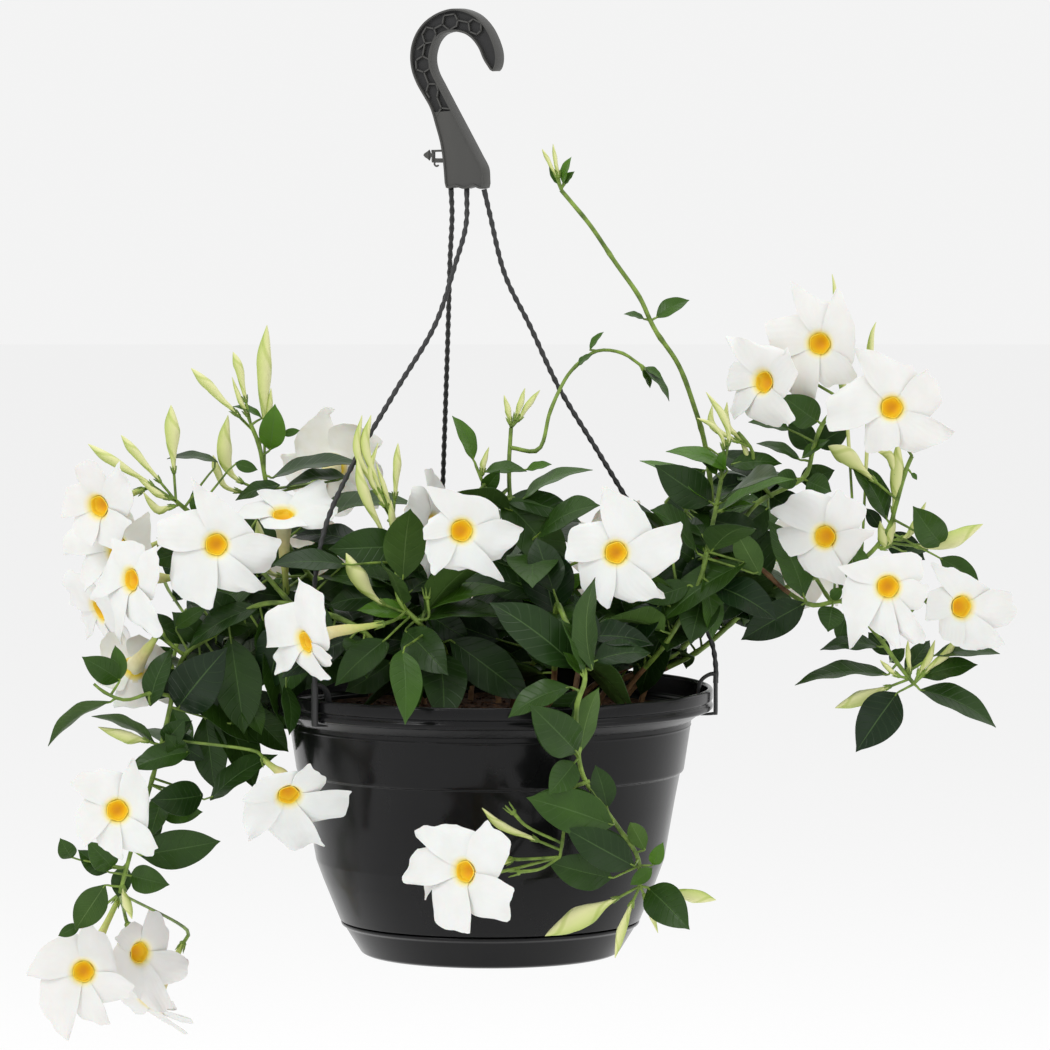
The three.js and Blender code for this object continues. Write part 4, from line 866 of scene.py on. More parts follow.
# The funnel bends from the mouth back to the foot of its tube; it is yellow inside and cream outside
def makeFunnel(build, bloom):
    out, upward, right = bloomAxes(bloom["face"])
    centre, base = seen(*bloom["at"]), bloomBase(bloom)
    neckDepth = bloomForm["shortFunnel"] if bloom.get("short") else bloomForm["funnel"]
    neck = centre - out * neckDepth
    straight = [centre - out * depth for depth in (bloomForm["tubeStart"], 4.5, neckDepth * 0.5)]
    way = smoothWay([*straight, neck, neck.lerp(base, 0.5), base], bloomForm["tubeRows"])
    axis = (base - centre).normalized()

    def placeOf(a, b):
        spot = Vector([along([place[i] for place in way], b) for i in range(3)])
        lean = -out.lerp(-axis, clamp(b * 1.6 - 0.3, 0, 1))
        turn = out.rotation_difference(-lean.normalized() if lean.dot(out) < 0 else lean.normalized())
        arm = right * math.cos(a * 2 * math.pi) + upward * math.sin(a * 2 * math.pi)
        ribs = 1 + 0.05 * math.cos(a * 2 * math.pi * 5) * (1 - b)
        return spot + (turn @ arm) * along(bloomForm["tubeRadii"], b) * ribs

    values = {"reach": lambda a, b: 1 - b, "side": lambda a, b: a}
    made, faces = sheet(build, bloomForm["sides"], bloomForm["tubeRows"], placeOf, values, 1)
    faces = merged(build, made, faces, 0.01)
    known = set(build.faces) - set(faces)
    thicken(build, faces, bloomForm["wall"])
    reach = build.verts.layers.float["reach"]
    for face in build.faces:
        if face in known:
            continue
        depth = (centre - face.calc_center_median()).dot(out)
        toAxis = centre - out * depth - face.calc_center_median()
        inside = face.normal.dot(toAxis) > 0 or face.normal.dot(out) > 0.6
        if depth < bloomForm["yellowDepth"] and inside:
            face.material_index = 0
            for vert in face.verts:
                vert[reach] = toAxis.length / 8


# The bottom of the throat, where the funnel closes round the style
def addThroat(build, stand):
    depth, radius = bloomForm["throatDepth"], bloomForm["throatRadius"]

    def placeOf(a, b):
        turn = a * 2 * math.pi
        low = depth + bloomForm["throatFloor"] * (1 - b * b)
        return Vector((math.cos(turn) * radius * b, math.sin(turn) * radius * b, -low))

    values = {"reach": lambda a, b: 0.25 + 0.43 * b ** 2, "side": lambda a, b: a}
    made, faces = sheet(build, bloomForm["sides"], 5, placeOf, values)
    bmesh.ops.transform(build, matrix=stand, verts=made)
    thicken(build, merged(build, made, faces, 0.002), bloomForm["wall"])


def makeBloom(letter):
    bloom = blooms[letter]
    form = {**bloomForm, **worn.get(letter, {})}
    out, upward, right = bloomAxes(bloom["face"])
    centre = seen(*bloom["at"])
    stand = Matrix((right, upward, out)).transposed().to_4x4()
    stand.translation = centre
    build = newBuild()
    for i, corner in enumerate(petalCorners(bloom)):
        made, faces = makePetal(build, bloom, corner, form, ord(letter[-1]) * 1.7 + i * 3.1)
        bmesh.ops.transform(build, matrix=stand, verts=made)
        thicken(build, faces, form["thickness"])
    for face in build.faces:
        arm = face.calc_center_median() - centre
        fromAxis = (arm - out * arm.dot(out)).length
        if face.normal.dot(out) < 0 and fromAxis > form["mouth"] * 1.25:
            face.material_index = 2
    makeFunnel(build, bloom)
    addThroat(build, stand)
    name = "bloom" + letter.replace("_", "").capitalize()
    newPiece(name, build, [petalWhite, trumpetCream, petalUnder], ["bloom_" + letter], 60)


for letter in blooms:
    makeBloom(letter)
print("blooms made")


# Hanger: a flat hook, turned on the upright, with a raised border round a web of hexagons.
# Its outlines and ribs run through pixels of the photograph.
hook = {
    "thickness": 10, "turn": math.radians(27), "zero": (457, 31.6), "run": 1.6, "border": 1.25,
    "bevel": 0.3, "web": 4.4, "rib": 0.85, "inside": 1.5, "aside": 3.3,
    "plateTop": 110, "plateDepth": 8.0, "lip": 0.6,
    "outer": [(496.4, 70.9), (498.6, 68.2), (500.4, 62), (500.2, 51.9), (495.8, 37.9), (488.8, 25.3),
              (479, 15.4), (467.6, 10.1), (458, 8.7), (449.1, 10.1), (438.2, 14.7), (427, 23.2),
              (419.2, 34.4), (415, 46.3), (413.9, 58.9), (415.7, 71.6), (420.6, 84.2), (427, 95.4),
              (434, 108), (439.6, 126.3), (443.8, 141.7), (446.6, 160), (448.4, 182)],
    "foot": [(449.6, 186.8), (452.6, 187.6), (455.6, 186.6), (459, 185.4), (462.4, 186.6), (467.2, 187.8),
             (472.4, 186.5), (476.4, 184.7), (480.2, 186.4), (483.6, 187.6), (486.2, 186.6)],
    "inner": [(487.1, 182.5), (486.9, 177), (486, 167), (479.2, 153.4), (467.2, 130.7), (454.6, 107.1),
              (442.5, 84.2), (436.2, 71.6), (433.8, 60.3), (434.9, 50.5), (438.5, 41.4), (445.2, 34.4),
              (457, 31.6), (468.3, 33.7), (475.4, 38.6), (482.2, 47.7), (487, 58.9), (493.6, 69.4)],
    "ribs": [[(468.4, 22.4), (473.3, 18.9), (481, 23.1), (481, 30.2), (476.8, 34.4), (469.8, 31.6),
              (468.4, 22.4)],
             [(443.8, 15.8), (454.6, 14), (457.8, 20.3), (456.4, 26), (449.4, 30.2), (442.4, 24.5),
              (443.8, 15.8)],
             [(422.1, 34.4), (426.3, 27.3), (434, 28.8), (436.1, 34.4), (432.6, 42.1), (424.9, 43.5),
              (422.1, 34.4)],
             [(415.8, 60.3), (422.5, 56.1), (429.4, 59.6), (429.4, 68.7), (423.8, 72.2), (416.2, 69.4),
              (415.8, 60.3)],
             [(426, 91.9), (428.4, 83.7), (436.1, 83.7), (438.2, 89.8), (436.8, 96.8), (429.1, 96.8),
              (426, 91.9)],
             [(468.4, 22.4), (457.8, 20.3)], [(442.4, 24.5), (434, 28.8)], [(424.9, 43.5), (422.5, 56.1)],
             [(423.8, 72.2), (428.4, 83.7)], [(436.8, 96.8), (441.3, 107.6), (450.4, 108.4)],
             [(441.3, 107.6), (435.4, 117.5)], [(424.9, 43.5), (418, 49)]],
    "arches": [(459, 184.9), (476.5, 184.2)],
    "arch": [(-3.4, 0.8), (-1.7, 0.2), (0, 0), (1.7, 0.2), (3.4, 0.8)],
}
# Its stud: bars from pixel to pixel with their width and depth, a barb, a loop and a small ring
stud = {
    "bars": [((447, 150), (433.4, 150.6), 1.3, 2.6), ((448, 160), (433.4, 160), 1.3, 2.6),
             ((433.6, 150.6), (433.6, 160), 1.3, 2.6), ((433, 154.8), (426, 154.8), 1.4, 2.2)],
    "barb": [(431.5, 154.8), (429.6, 154.8), (427.4, 154.8), (425, 154.8), (423.6, 154.8)],
    "barbRadii": [0.6, 3.4, 2.2, 1.3, 0.3], "loop": (436.8, 163.2), "loopRadius": 1.5, "loopWire": 0.6,
    "ring": (468.3, 152.6), "ringRadius": 0.75, "ringWidth": 0.25,
}


def hookPlane(px, py):
    zeroX, zeroY = hook["zero"]
    return (px - zeroX) * picture["scale"] / math.cos(hook["turn"]), (zeroY - py) * picture["scale"]


def hookSpot(px, py, y=0.0):
    x, z = hookPlane(px, py)
    return Vector((x, y, z))


# The points of an outline made smooth, about one run apart
def smoothOutline(pixels):
    points = [hookSpot(*pixel) for pixel in pixels]
    return smoothWay(points, max(round(wayLength(points) / hook["run"]), 2))


def bar(build, a, b, width, depth):
    way = b - a
    turn = Vector((1, 0, 0)).rotation_difference(way.normalized()).to_matrix().to_4x4()
    size = Matrix.Diagonal((way.length + width, depth, width, 1))
    bmesh.ops.create_cube(build, size=1, matrix=Matrix.Translation((a + b) / 2) @ turn @ size)


# The outline drawn inwards by a border's width
def drawnIn(outline, width):
    inset = []
    for i, spot in enumerate(outline):
        ahead = (outline[(i + 1) % len(outline)] - outline[i - 1]).normalized()
        inset.append(spot + Vector((-ahead.z, 0, ahead.x)) * width)
    return inset


def closedLoop(build, spots, y):
    verts = [build.verts.new((spot.x, y, spot.z)) for spot in spots]
    return [build.edges.new(pair) for pair in zip(verts, verts[1:] + verts[:1])]


# Faces made a block of some depth
def lifted(build, faces, depth):
    made = bmesh.ops.extrude_face_region(build, geom=faces)["geom"]
    verts = [item for item in made if isinstance(item, bmesh.types.BMVert)]
    bmesh.ops.translate(build, vec=(0, depth, 0), verts=verts)
    return {face for vert in verts for face in vert.link_faces}


# A slab inside an outline, in the middle of the hook's thickness
def slab(build, outline, depth):
    loop = closedLoop(build, outline, -depth / 2)
    face = bmesh.ops.contextual_create(build, geom=loop)["faces"]
    bmesh.ops.recalc_face_normals(build, faces=list(lifted(build, face, depth)))


def makeHook():
    build = newBuild()
    outline = [spot for part in ("outer", "foot", "inner") for spot in smoothOutline(hook[part])]
    front = -hook["thickness"] / 2
    loops = closedLoop(build, outline, front) + closedLoop(build, drawnIn(outline, hook["border"]), front)
    rim = bmesh.ops.bridge_loops(build, edges=loops)["faces"]
    lifted(build, rim, hook["thickness"])
    bmesh.ops.recalc_face_normals(build, faces=build.faces)
    sharp = [edge for edge in build.edges if edge.is_manifold and edge.calc_face_angle(0) > math.radians(60)]
    bmesh.ops.bevel(build, geom=sharp, offset=hook["bevel"], segments=2, profile=0.5, affect="EDGES",
                    material=-1)
    border = set(build.faces)
    inset = drawnIn(outline, hook["border"] * 0.6)
    slab(build, inset, hook["web"])
    # Inside the border the web takes the darker copy of the plastic, painted shade in the recess
    for face in build.faces:
        face.material_index = 0 if face in border else 1
    addRibs(build)
    addPlate(build, inset)
    addStud(build)
    bmesh.ops.rotate(build, cent=(0, 0, 0), matrix=Matrix.Rotation(-hook["turn"], 3, "Z"), verts=build.verts)
    newPiece("hookBody", build, [hangerPlastic, hangerShadedWeb], ["hanger_hook"], 35)


# The honeycomb that stiffens the hook, as it is seen on the near side
def addRibs(build):
    depth = hook["thickness"] - hook["inside"]
    for line in hook["ribs"]:
        spots = [hookSpot(px + hook["aside"], py) for px, py in line]
        for a, b in zip(spots, spots[1:]):
            bar(build, a, b, hook["rib"], depth)


# The plate under the honeycomb is thicker than the web, with a small lip round each arch of its foot
def addPlate(build, inset):
    top = hookSpot(0, hook["plateTop"]).z
    slab(build, [spot for spot in inset if spot.z < top], hook["plateDepth"])
    for px, py in hook["arches"]:
        for side in (-1, 1):
            y = side * (hook["thickness"] / 2 - 0.7)
            way = smoothWay([hookSpot(px + x, py + z, y) for x, z in hook["arch"]], 12)
            tube(build, way, lambda t: hook["lip"], 8)


# A barbed stud on a small bracket with a loop under it, and a small moulded ring on the plate
def addStud(build):
    for a, b, width, depth in stud["bars"]:
        bar(build, hookSpot(*a), hookSpot(*b), width, depth)
    barb = [hookSpot(*pixel) for pixel in stud["barb"]]
    tube(build, barb, lambda t: along(stud["barbRadii"], t), 12, lobes=lambda angle, t: (0.45, 1))
    loop = []
    for k in range(17):
        angle = math.pi * (0.2 + 0.1 * k)
        arm = Vector((math.cos(angle), 0, math.sin(angle)))
        loop.append(hookSpot(*stud["loop"]) + arm * stud["loopRadius"])
    tube(build, loop, lambda t: stud["loopWire"], 8)
    place = Matrix.Translation(hookSpot(*stud["ring"], -hook["plateDepth"] / 2 - 0.1))
    place = place @ Matrix.Rotation(math.pi / 2, 4, "X")
    ring = bmesh.ops.create_circle(build, segments=16, radius=stud["ringRadius"], matrix=place)["verts"]
    edges = list({edge for vert in ring for edge in vert.link_edges})
    faces = bmesh.ops.contextual_create(build, geom=edges)["faces"]
    rim = bmesh.ops.inset_region(build, faces=faces, thickness=stud["ringWidth"])["faces"]
    bmesh.ops.delete(build, geom=faces, context="FACES_ONLY")
    lifted(build, rim, -stud["ringWidth"])


# Strands: two-lobed cords, twisted, each with a clip that grips the rim from above
strands = {
    "radius": 1.44, "lobe": 0.2, "turn": 12.0, "row": 1.5, "legRadius": 137.5, "clearance": 0.3, "top": 188.5,
    "roots": {"left": 467, "back": 451.2, "right": 484.2}, "clips": {"right": -8, "back": 103, "left": 221},
    "routes": {
        "left": [(466, 225), (455, 265), (435, 325), (395, 392), (350, 470), (325, 528), (314, 590),
                 (311, 660)],
        "right": [(490, 215), (505, 275), (530, 326), (558.6, 387), (597, 450), (640, 520), (686, 590),
                  (711, 640)],
        "back": [(452, 215), (450, 260), (448, 330), (445, 420), (443, 480), (441, 570), (440.5, 650)]},
}
# The flat bars of a clip: (radius, height) at the rim, the two half widths and how a bar thins out
clip = {
    "leg": {"spots": [(strands["legRadius"], z) for z in (12, 10.5, 8, 0, -8, -13, -15.2)],
            "size": (2.5, 1.25), "thin": [0.45, 0.9, 1, 1, 1, 1, 0.9]},
    "tongue": {"spots": [(strands["legRadius"], 9.6), (134, 9.2), (128.6, 5.2), (126.4, -4.5)],
               "size": (2.5, 1.2), "thin": [1, 1, 1, 1, 0.8], "runs": 14},
    "toe": {"spots": [(strands["legRadius"], -14.4), (134, -14.8), (128.4, -15.4)],
            "size": (2.3, 0.9), "thin": [1, 0.95, 0.5]},
}


def onRim(angle, radius, z):
    turn = math.radians(angle)
    return pot["axis"] + Vector((math.cos(turn) * radius, math.sin(turn) * radius, z))


# A flat bar with rounded corners, as the lobes of a tube
def flatBar(wide, thick):
    def lobes(turn, t):
        square = max(abs(math.cos(turn)), abs(math.sin(turn))) ** 0.7
        return wide / square, thick / square

    return lobes


def makeStrand(side):
    angle = strands["clips"][side]
    rootX, rootZ = hookPlane(strands["roots"][side], strands["top"])
    turn = hook["turn"]
    root = Vector((rootX * math.cos(turn), -rootX * math.sin(turn), rootZ - strands["clearance"]))
    shoulder = onRim(angle, strands["legRadius"], 14)
    low = pixelOf(shoulder)[1]
    route = []
    for px, py in strands["routes"][side]:
        share = (py - strands["top"]) / (low - strands["top"])
        route.append(seen(px, py, root.y + (shoulder.y - root.y) * share))
    points = [root + Vector((0, 0, 0.6)), *route, shoulder, onRim(angle, strands["legRadius"], 4)]
    length = wayLength(points)
    way = smoothWay(points, round(length / strands["row"]))

    def lobes(turn, t):
        held = clamp(min(t * length / 9, (1 - t) * length / 16), 0, 1)
        bulge = 1 + strands["lobe"] * held * math.cos(2 * (turn - t * length / strands["turn"] * 2 * math.pi))
        return bulge * mix(1.15, 0.98, held), bulge * mix(1.15, 0.98, held)

    build = newBuild()
    tube(build, way, lambda t: strands["radius"], 12, lobes=lobes)
    tangent = onRim(angle + 90, 1, 0) - pot["axis"]
    for part in clip.values():
        way = [onRim(angle, *place) for place in part["spots"]]
        if "runs" in part:
            way = smoothWay(way, part["runs"])
        tube(build, way, lambda t: along(part["thin"], t), 12, lobes=flatBar(*part["size"]), sideways=tangent)
    name = "strand" + side.capitalize()
    # The strands and clips take the darker copy of the hanger plastic, painted shade
    newPiece(name, build, [strandShadedPlastic], ["hanger_strand_" + side], 50)


makeHook()
for side in strands["clips"]:
    makeStrand(side)
print("hanger made")


# Leafy stems. A root is its place in the soil. A route runs through pixels and depths. The first
# route starts at the root, and each later one at the nearest point of those before it.
# A leaf is its base, its tip and the width that shows, then a when its tip leans away or u where
# its underside shows. A bud is its tip, its belly, the belly's width and the foot of its stalk.
stems = {
    "left_trail": {
        "root": (-52, -30),
        "routes": (
            (
                (372, 640, -60), (322, 612, -56), (262, 604, -50), (215, 634, -46),
                (184, 656, -42), (174, 690, -40), (165, 730, -42), (152, 780, -42),
                (137, 830, -44), (126, 870, -46), (120, 893, -44)),
            ((152, 693, -48), (125, 700, -54), (104, 692, -52), (94, 684, -50))),
        "blooms": ("d", "f", "g", "r", "s", "t", "u", "v"),
        "leaves": (
            (330, 637, 375, 658, 22), (310, 625, 308, 588, 25), (262, 602, 188, 648, 22),
            (135, 618, 188, 645, 22), (175, 628, 207, 608, 15), (178, 708, 225, 650, 50),
            (150, 706, 172, 648, 24), (120, 680, 82, 657, 26), (120, 680, 115, 645, 16),
            (118, 700, 46, 743, 12, "u"), (160, 745, 92, 715, 12, "u"), (185, 757, 131, 765, 18),
            (185, 757, 165, 733, 20), (203, 795, 150, 800, 34), (140, 855, 221, 841, 38),
            (160, 815, 203, 812, 20), (210, 800, 278, 755, 22), (72, 858, 60, 838, 18),
            (113, 868, 88, 842, 26), (125, 877, 170, 885, 28), (105, 885, 75, 930, 30, "u"),
            (80, 925, 58, 936, 12), (230, 725, 262, 703, 12), (285, 685, 290, 735, 16),
            (240, 690, 262, 735, 22)),
        "buds": ((98, 727, 130, 738, 12, 160, 743), (132, 919, 127, 903, 9, 120, 880))},
    "left_upper": {
        "root": (-34, 8),
        "routes": (
            (
                (352, 660, -6), (318, 630, -30), (285, 597, -36), (244, 552, -10), (204, 524, -12),
                (176, 501, -26)),),
        "blooms": ("a", "e", "b"),
        "leaves": (
            (200, 520, 193, 490, 14), (235, 463, 258, 470, 12), (280, 485, 235, 500, 14),
            (344, 563, 272, 565, 20), (300, 612, 262, 650, 20), (250, 560, 225, 620, 22)),
        "buds": (
            (171, 405, 172, 430, 15, 175, 499), (121, 435, 133, 450, 9, 175, 499),
            (88, 444, 108, 458, 10, 175, 499), (143, 492, 158, 510, 8, 180, 505))},
    "left_top": {
        "root": (-16, 34),
        "routes": (
            (
                (368, 660, 24), (320, 590, 18), (280, 530, 8), (266, 482, 0), (259, 445, -2),
                (251, 425, -2)),),
        "blooms": ("c", "i"),
        "leaves": (
            (270, 450, 275, 404, 26), (272, 478, 365, 461, 12), (348, 478, 283, 486, 12),
            (305, 525, 418, 499, 16), (322, 592, 290, 575, 16)),
        "buds": (
            (267, 325, 264, 365, 15, 265, 480), (233, 352, 238, 365, 9, 251, 425),
            (191, 368, 208, 385, 10, 252, 430), (202, 375, 212, 390, 8, 252, 428),
            (228, 415, 224, 450, 15, 240, 500), (213, 455, 217, 470, 8, 236, 505),
            (257, 520, 262, 545, 12, 278, 600))},
    "crown_left": {
        "root": (-6, -26),
        "routes": (((445, 650, -50), (418, 622, -72), (399, 600, -70), (397, 565, -62), (393, 522, -56)),),
        "blooms": ("h", "y"),
        "leaves": (
            (412, 616, 357, 610, 18), (425, 610, 510, 592, 14), (415, 620, 510, 618, 18),
            (405, 630, 449, 676, 38), (402, 650, 407, 722, 30), (385, 640, 335, 685, 30),
            (450, 640, 530, 700, 44), (406, 546, 328, 549, 38)),
        "buds": (
            (346, 553, 357, 575, 17, 397, 625), (357, 458, 363, 490, 11, 395, 560),
            (371, 415, 365, 445, 9, 388, 515), (362, 415, 357, 450, 8, 388, 518),
            (398, 443, 397, 465, 8, 394, 512)),
        "calyxes": ((427, 597, 428, 618, 403, 630),)},
    "crown_middle": {
        "root": (34, 4),
        "routes": (
            (
                (545, 640, -30), (548, 592, -44), (532, 545, -44), (512, 505, -38),
                (509, 470, -34), (511, 428, -32)),
            (
                (538, 450, -30), (550, 412, -26), (561, 387, -22), (572, 370, -18),
                (597, 351, -14), (622, 353, -12), (639, 364, -12)),
            ((500, 500, -42), (486, 488, -44), (476, 466, -44))),
        "blooms": ("k", "j"),
        "leaves": (
            (500, 498, 568, 578, 46), (505, 500, 582, 520, 24), (475, 463, 454, 415, 15),
            (480, 475, 527, 470, 12), (483, 492, 500, 470, 16), (548, 592, 447, 570, 34),
            (553, 600, 513, 592, 12), (558, 598, 587, 572, 14), (550, 597, 508, 577, 12),
            (640, 364, 671, 400, 8)),
        "buds": ()},
    "front_trail": {
        "root": (58, -34),
        "routes": (
            (
                (556, 640, -70), (557, 604, -88), (566, 622, -108), (579, 652, -126),
                (585, 680, -139), (577, 705, -143), (578, 752, -139), (584, 778, -136),
                (600, 802, -133), (620, 830, -130), (638, 858, -128), (640, 886, -128)),
            ((570, 790, -138), (564, 830, -138), (560, 857, -138))),
        "blooms": ("w", "x"),
        "leaves": (
            (577, 668, 491, 600, 42), (592, 670, 593, 577, 24, "u"), (588, 678, 563, 618, 15),
            (570, 687, 507, 716, 24), (583, 758, 598, 687, 26, "u"), (577, 752, 530, 705, 40),
            (580, 760, 548, 795, 28), (613, 815, 595, 765, 24), (613, 825, 527, 798, 42),
            (634, 866, 565, 828, 35), (612, 878, 547, 862, 34), (645, 850, 630, 822, 18, "u"),
            (653, 865, 663, 843, 14), (652, 868, 630, 885, 14), (648, 888, 690, 930, 38)),
        "buds": (
            (716, 900, 695, 896, 13, 645, 888), (545, 936, 580, 918, 22, 640, 886),
            (615, 958, 622, 930, 9, 638, 886), (482, 808, 500, 825, 8, 560, 850)),
        "calyxes": ((513, 812, 525, 825, 560, 840), (518, 872, 540, 869, 560, 857))},
    "tall_shoot": {
        "root": (88, 26),
        "routes": (
            (
                (690, 640, 26), (712, 540, 22), (706, 450, 14), (693, 403, 10), (678, 364, 10),
                (657, 333, 10), (650, 320, 10), (640, 298, 10), (615, 262, 10), (590, 225, 10),
                (572, 203, 10), (561, 190, 10)),),
        "leaves": ((652, 322, 689, 299, 16), (560, 186, 572, 157, 8)),
        "buds": ((542, 149, 548, 160, 4, 560, 186),)},
    "right_inner": {
        "root": (98, -22),
        "routes": (((668, 640, -40), (700, 580, -46), (708, 545, -46), (716, 508, -44), (721, 480, -42)),),
        "leaves": (
            (712, 505, 655, 465, 38), (715, 505, 640, 460, 12), (728, 470, 667, 448, 14),
            (722, 480, 697, 452, 12), (722, 510, 795, 480, 12), (745, 563, 663, 624, 30),
            (760, 575, 735, 530, 26, "u"), (700, 575, 712, 640, 22), (690, 585, 640, 600, 24)),
        "buds": (),
        "calyxes": ((687, 510, 668, 495, 650, 600),)},
    "right_low": {
        "root": (112, 6),
        "routes": (
            (
                (690, 610, -8), (702, 568, -16), (730, 557, -20), (758, 567, -20), (785, 590, -22),
                (812, 605, -24), (845, 602, -24), (876, 634, -26), (898, 664, -30),
                (914, 684, -32)),),
        "blooms": ("p", "q", "o"),
        "leaves": (
            (805, 603, 741, 640, 34), (803, 600, 768, 520, 34), (885, 650, 820, 647, 14),
            (888, 675, 795, 687, 8), (897, 693, 856, 752, 42), (920, 690, 998, 724, 24),
            (922, 677, 978, 665, 20), (935, 655, 1000, 655, 14), (838, 598, 828, 632, 26),
            (838, 548, 870, 562, 14), (822, 600, 842, 588, 12)),
        "buds": ((835, 708, 862, 698, 15, 905, 680), (961, 632, 945, 655, 8, 914, 680))},
    "right_upper": {
        "root": (76, 18),
        "routes": (
            (
                (672, 640, 8), (730, 545, 8), (755, 505, 6), (805, 476, 4), (813, 450, 2),
                (822, 425, 0), (843, 400, 4)),
            ((755, 474, 0), (752, 450, -4), (738, 432, -6))),
        "blooms": ("l", "m"),
        "leaves": (
            (730, 465, 782, 462, 18), (805, 475, 772, 480, 20), (805, 475, 832, 492, 24),
            (825, 425, 782, 395, 32), (790, 430, 748, 423, 12), (760, 500, 700, 522, 22)),
        "buds": ()},
    "right_far": {
        "root": (104, 34),
        "routes": (
            (
                (700, 650, 30), (760, 600, 20), (820, 575, 8), (862, 560, 4), (888, 530, 2),
                (896, 505, 0), (906, 470, 0), (912, 456, 0)),),
        "blooms": ("n",),
        "leaves": (
            (890, 528, 850, 462, 24), (942, 545, 912, 505, 32), (940, 558, 980, 585, 22),
            (870, 562, 838, 590, 18)),
        "buds": (
            (898, 440, 897, 475, 14, 892, 530), (926, 502, 915, 525, 8, 898, 548),
            (983, 524, 950, 540, 17, 905, 552), (880, 521, 883, 540, 10, 886, 556),
            (895, 512, 890, 535, 9, 888, 556), (828, 446, 845, 455, 18, 896, 500),
            (878, 452, 888, 454, 9, 900, 488))},
    "back_left": {
        "root": (-22, 52),
        "routes": (
            (
                (392, 655, 62), (350, 600, 92), (300, 570, 108), (250, 560, 118), (205, 585, 122),
                (178, 640, 118), (168, 700, 110)),),
        "blooms": ("back_a",)},
    "back_middle": {
        "root": (24, 62),
        "routes": (((470, 640, 80), (455, 590, 104), (470, 545, 116), (505, 522, 112), (540, 520, 104)),),
        "blooms": ("back_b",)},
    "back_right": {
        "root": (72, 58),
        "routes": (
            (
                (590, 640, 84), (640, 584, 108), (695, 556, 122), (750, 545, 126), (800, 560, 120),
                (830, 600, 110)),),
        "blooms": ("back_c",)},
    "back_trail": {
        "root": (8, 84),
        "routes": (
            (
                (478, 655, 112), (482, 656, 136), (484, 690, 148), (488, 760, 146),
                (478, 830, 142), (470, 884, 138)),),
        "blooms": ("back_d",)}}

smallThings = {
    "left_trail": {"shoots": (((230, 628, -24), (236, 665, -26), (240, 700, -28), (244, 722, -34)),)},
    "left_upper": {"leaves": ((218, 462, 167, 456, 6),), "buds": ((135, 475, 160, 495, 7, 176, 501),)},
    "left_top": {
        "leaves": ((283, 435, 300, 430, 8), (262, 418, 233, 405, 6)),
        "buds": ((232, 377, 240, 400, 5, 251, 422), (271, 388, 270, 405, 5, 262, 440))},
    "crown_left": {
        "buds": (
            (378, 443, 370, 475, 6, 390, 520), (376, 463, 385, 490, 5, 393, 516),
            (391, 500, 392, 520, 7, 397, 555))},
    "crown_middle": {
        "leaves": (
            (522, 500, 591, 466, 10), (590, 350, 604, 332, 6), (572, 370, 593, 354, 6),
            (640, 364, 663, 379, 7), (640, 364, 651, 388, 7), (526, 470, 552, 464, 8)),
        "buds": (
            (504, 395, 508, 410, 6, 511, 428), (525, 388, 520, 405, 6, 512, 428),
            (540, 390, 528, 405, 6, 512, 430), (489, 447, 483, 465, 6, 482, 480))},
    "front_trail": {"leaves": ((580, 680, 563, 652, 10),), "buds": ((658, 933, 650, 910, 6, 642, 888),)},
    "tall_shoot": {
        "leaves": ((650, 320, 624, 313, 6), (561, 188, 574, 171, 7), (559, 184, 549, 166, 8)),
        "buds": ((553, 144, 555, 158, 4, 560, 186),)},
    "right_inner": {
        "leaves": ((722, 482, 724, 450, 10), (715, 512, 753, 505, 8)),
        "buds": ((706, 392, 722, 415, 7, 735, 452), (697, 418, 712, 425, 5, 733, 452))},
    "right_low": {
        "buds": (
            (935, 640, 928, 660, 7, 912, 682), (880, 660, 888, 668, 5, 905, 682),
            (908, 640, 908, 655, 5, 911, 682))},
    "right_upper": {
        "leaves": ((800, 460, 757, 442, 10), (802, 458, 830, 440, 10), (755, 474, 768, 455, 8)),
        "buds": (
            (712, 405, 712, 425, 7, 748, 450), (727, 402, 727, 425, 7, 750, 448),
            (740, 437, 746, 452, 5, 753, 474))},
    "right_far": {
        "leaves": ((906, 470, 917, 480, 5),),
        "buds": ((832, 274, 834, 284, 6, 860, 560), (876, 322, 872, 334, 7, 862, 560))}}

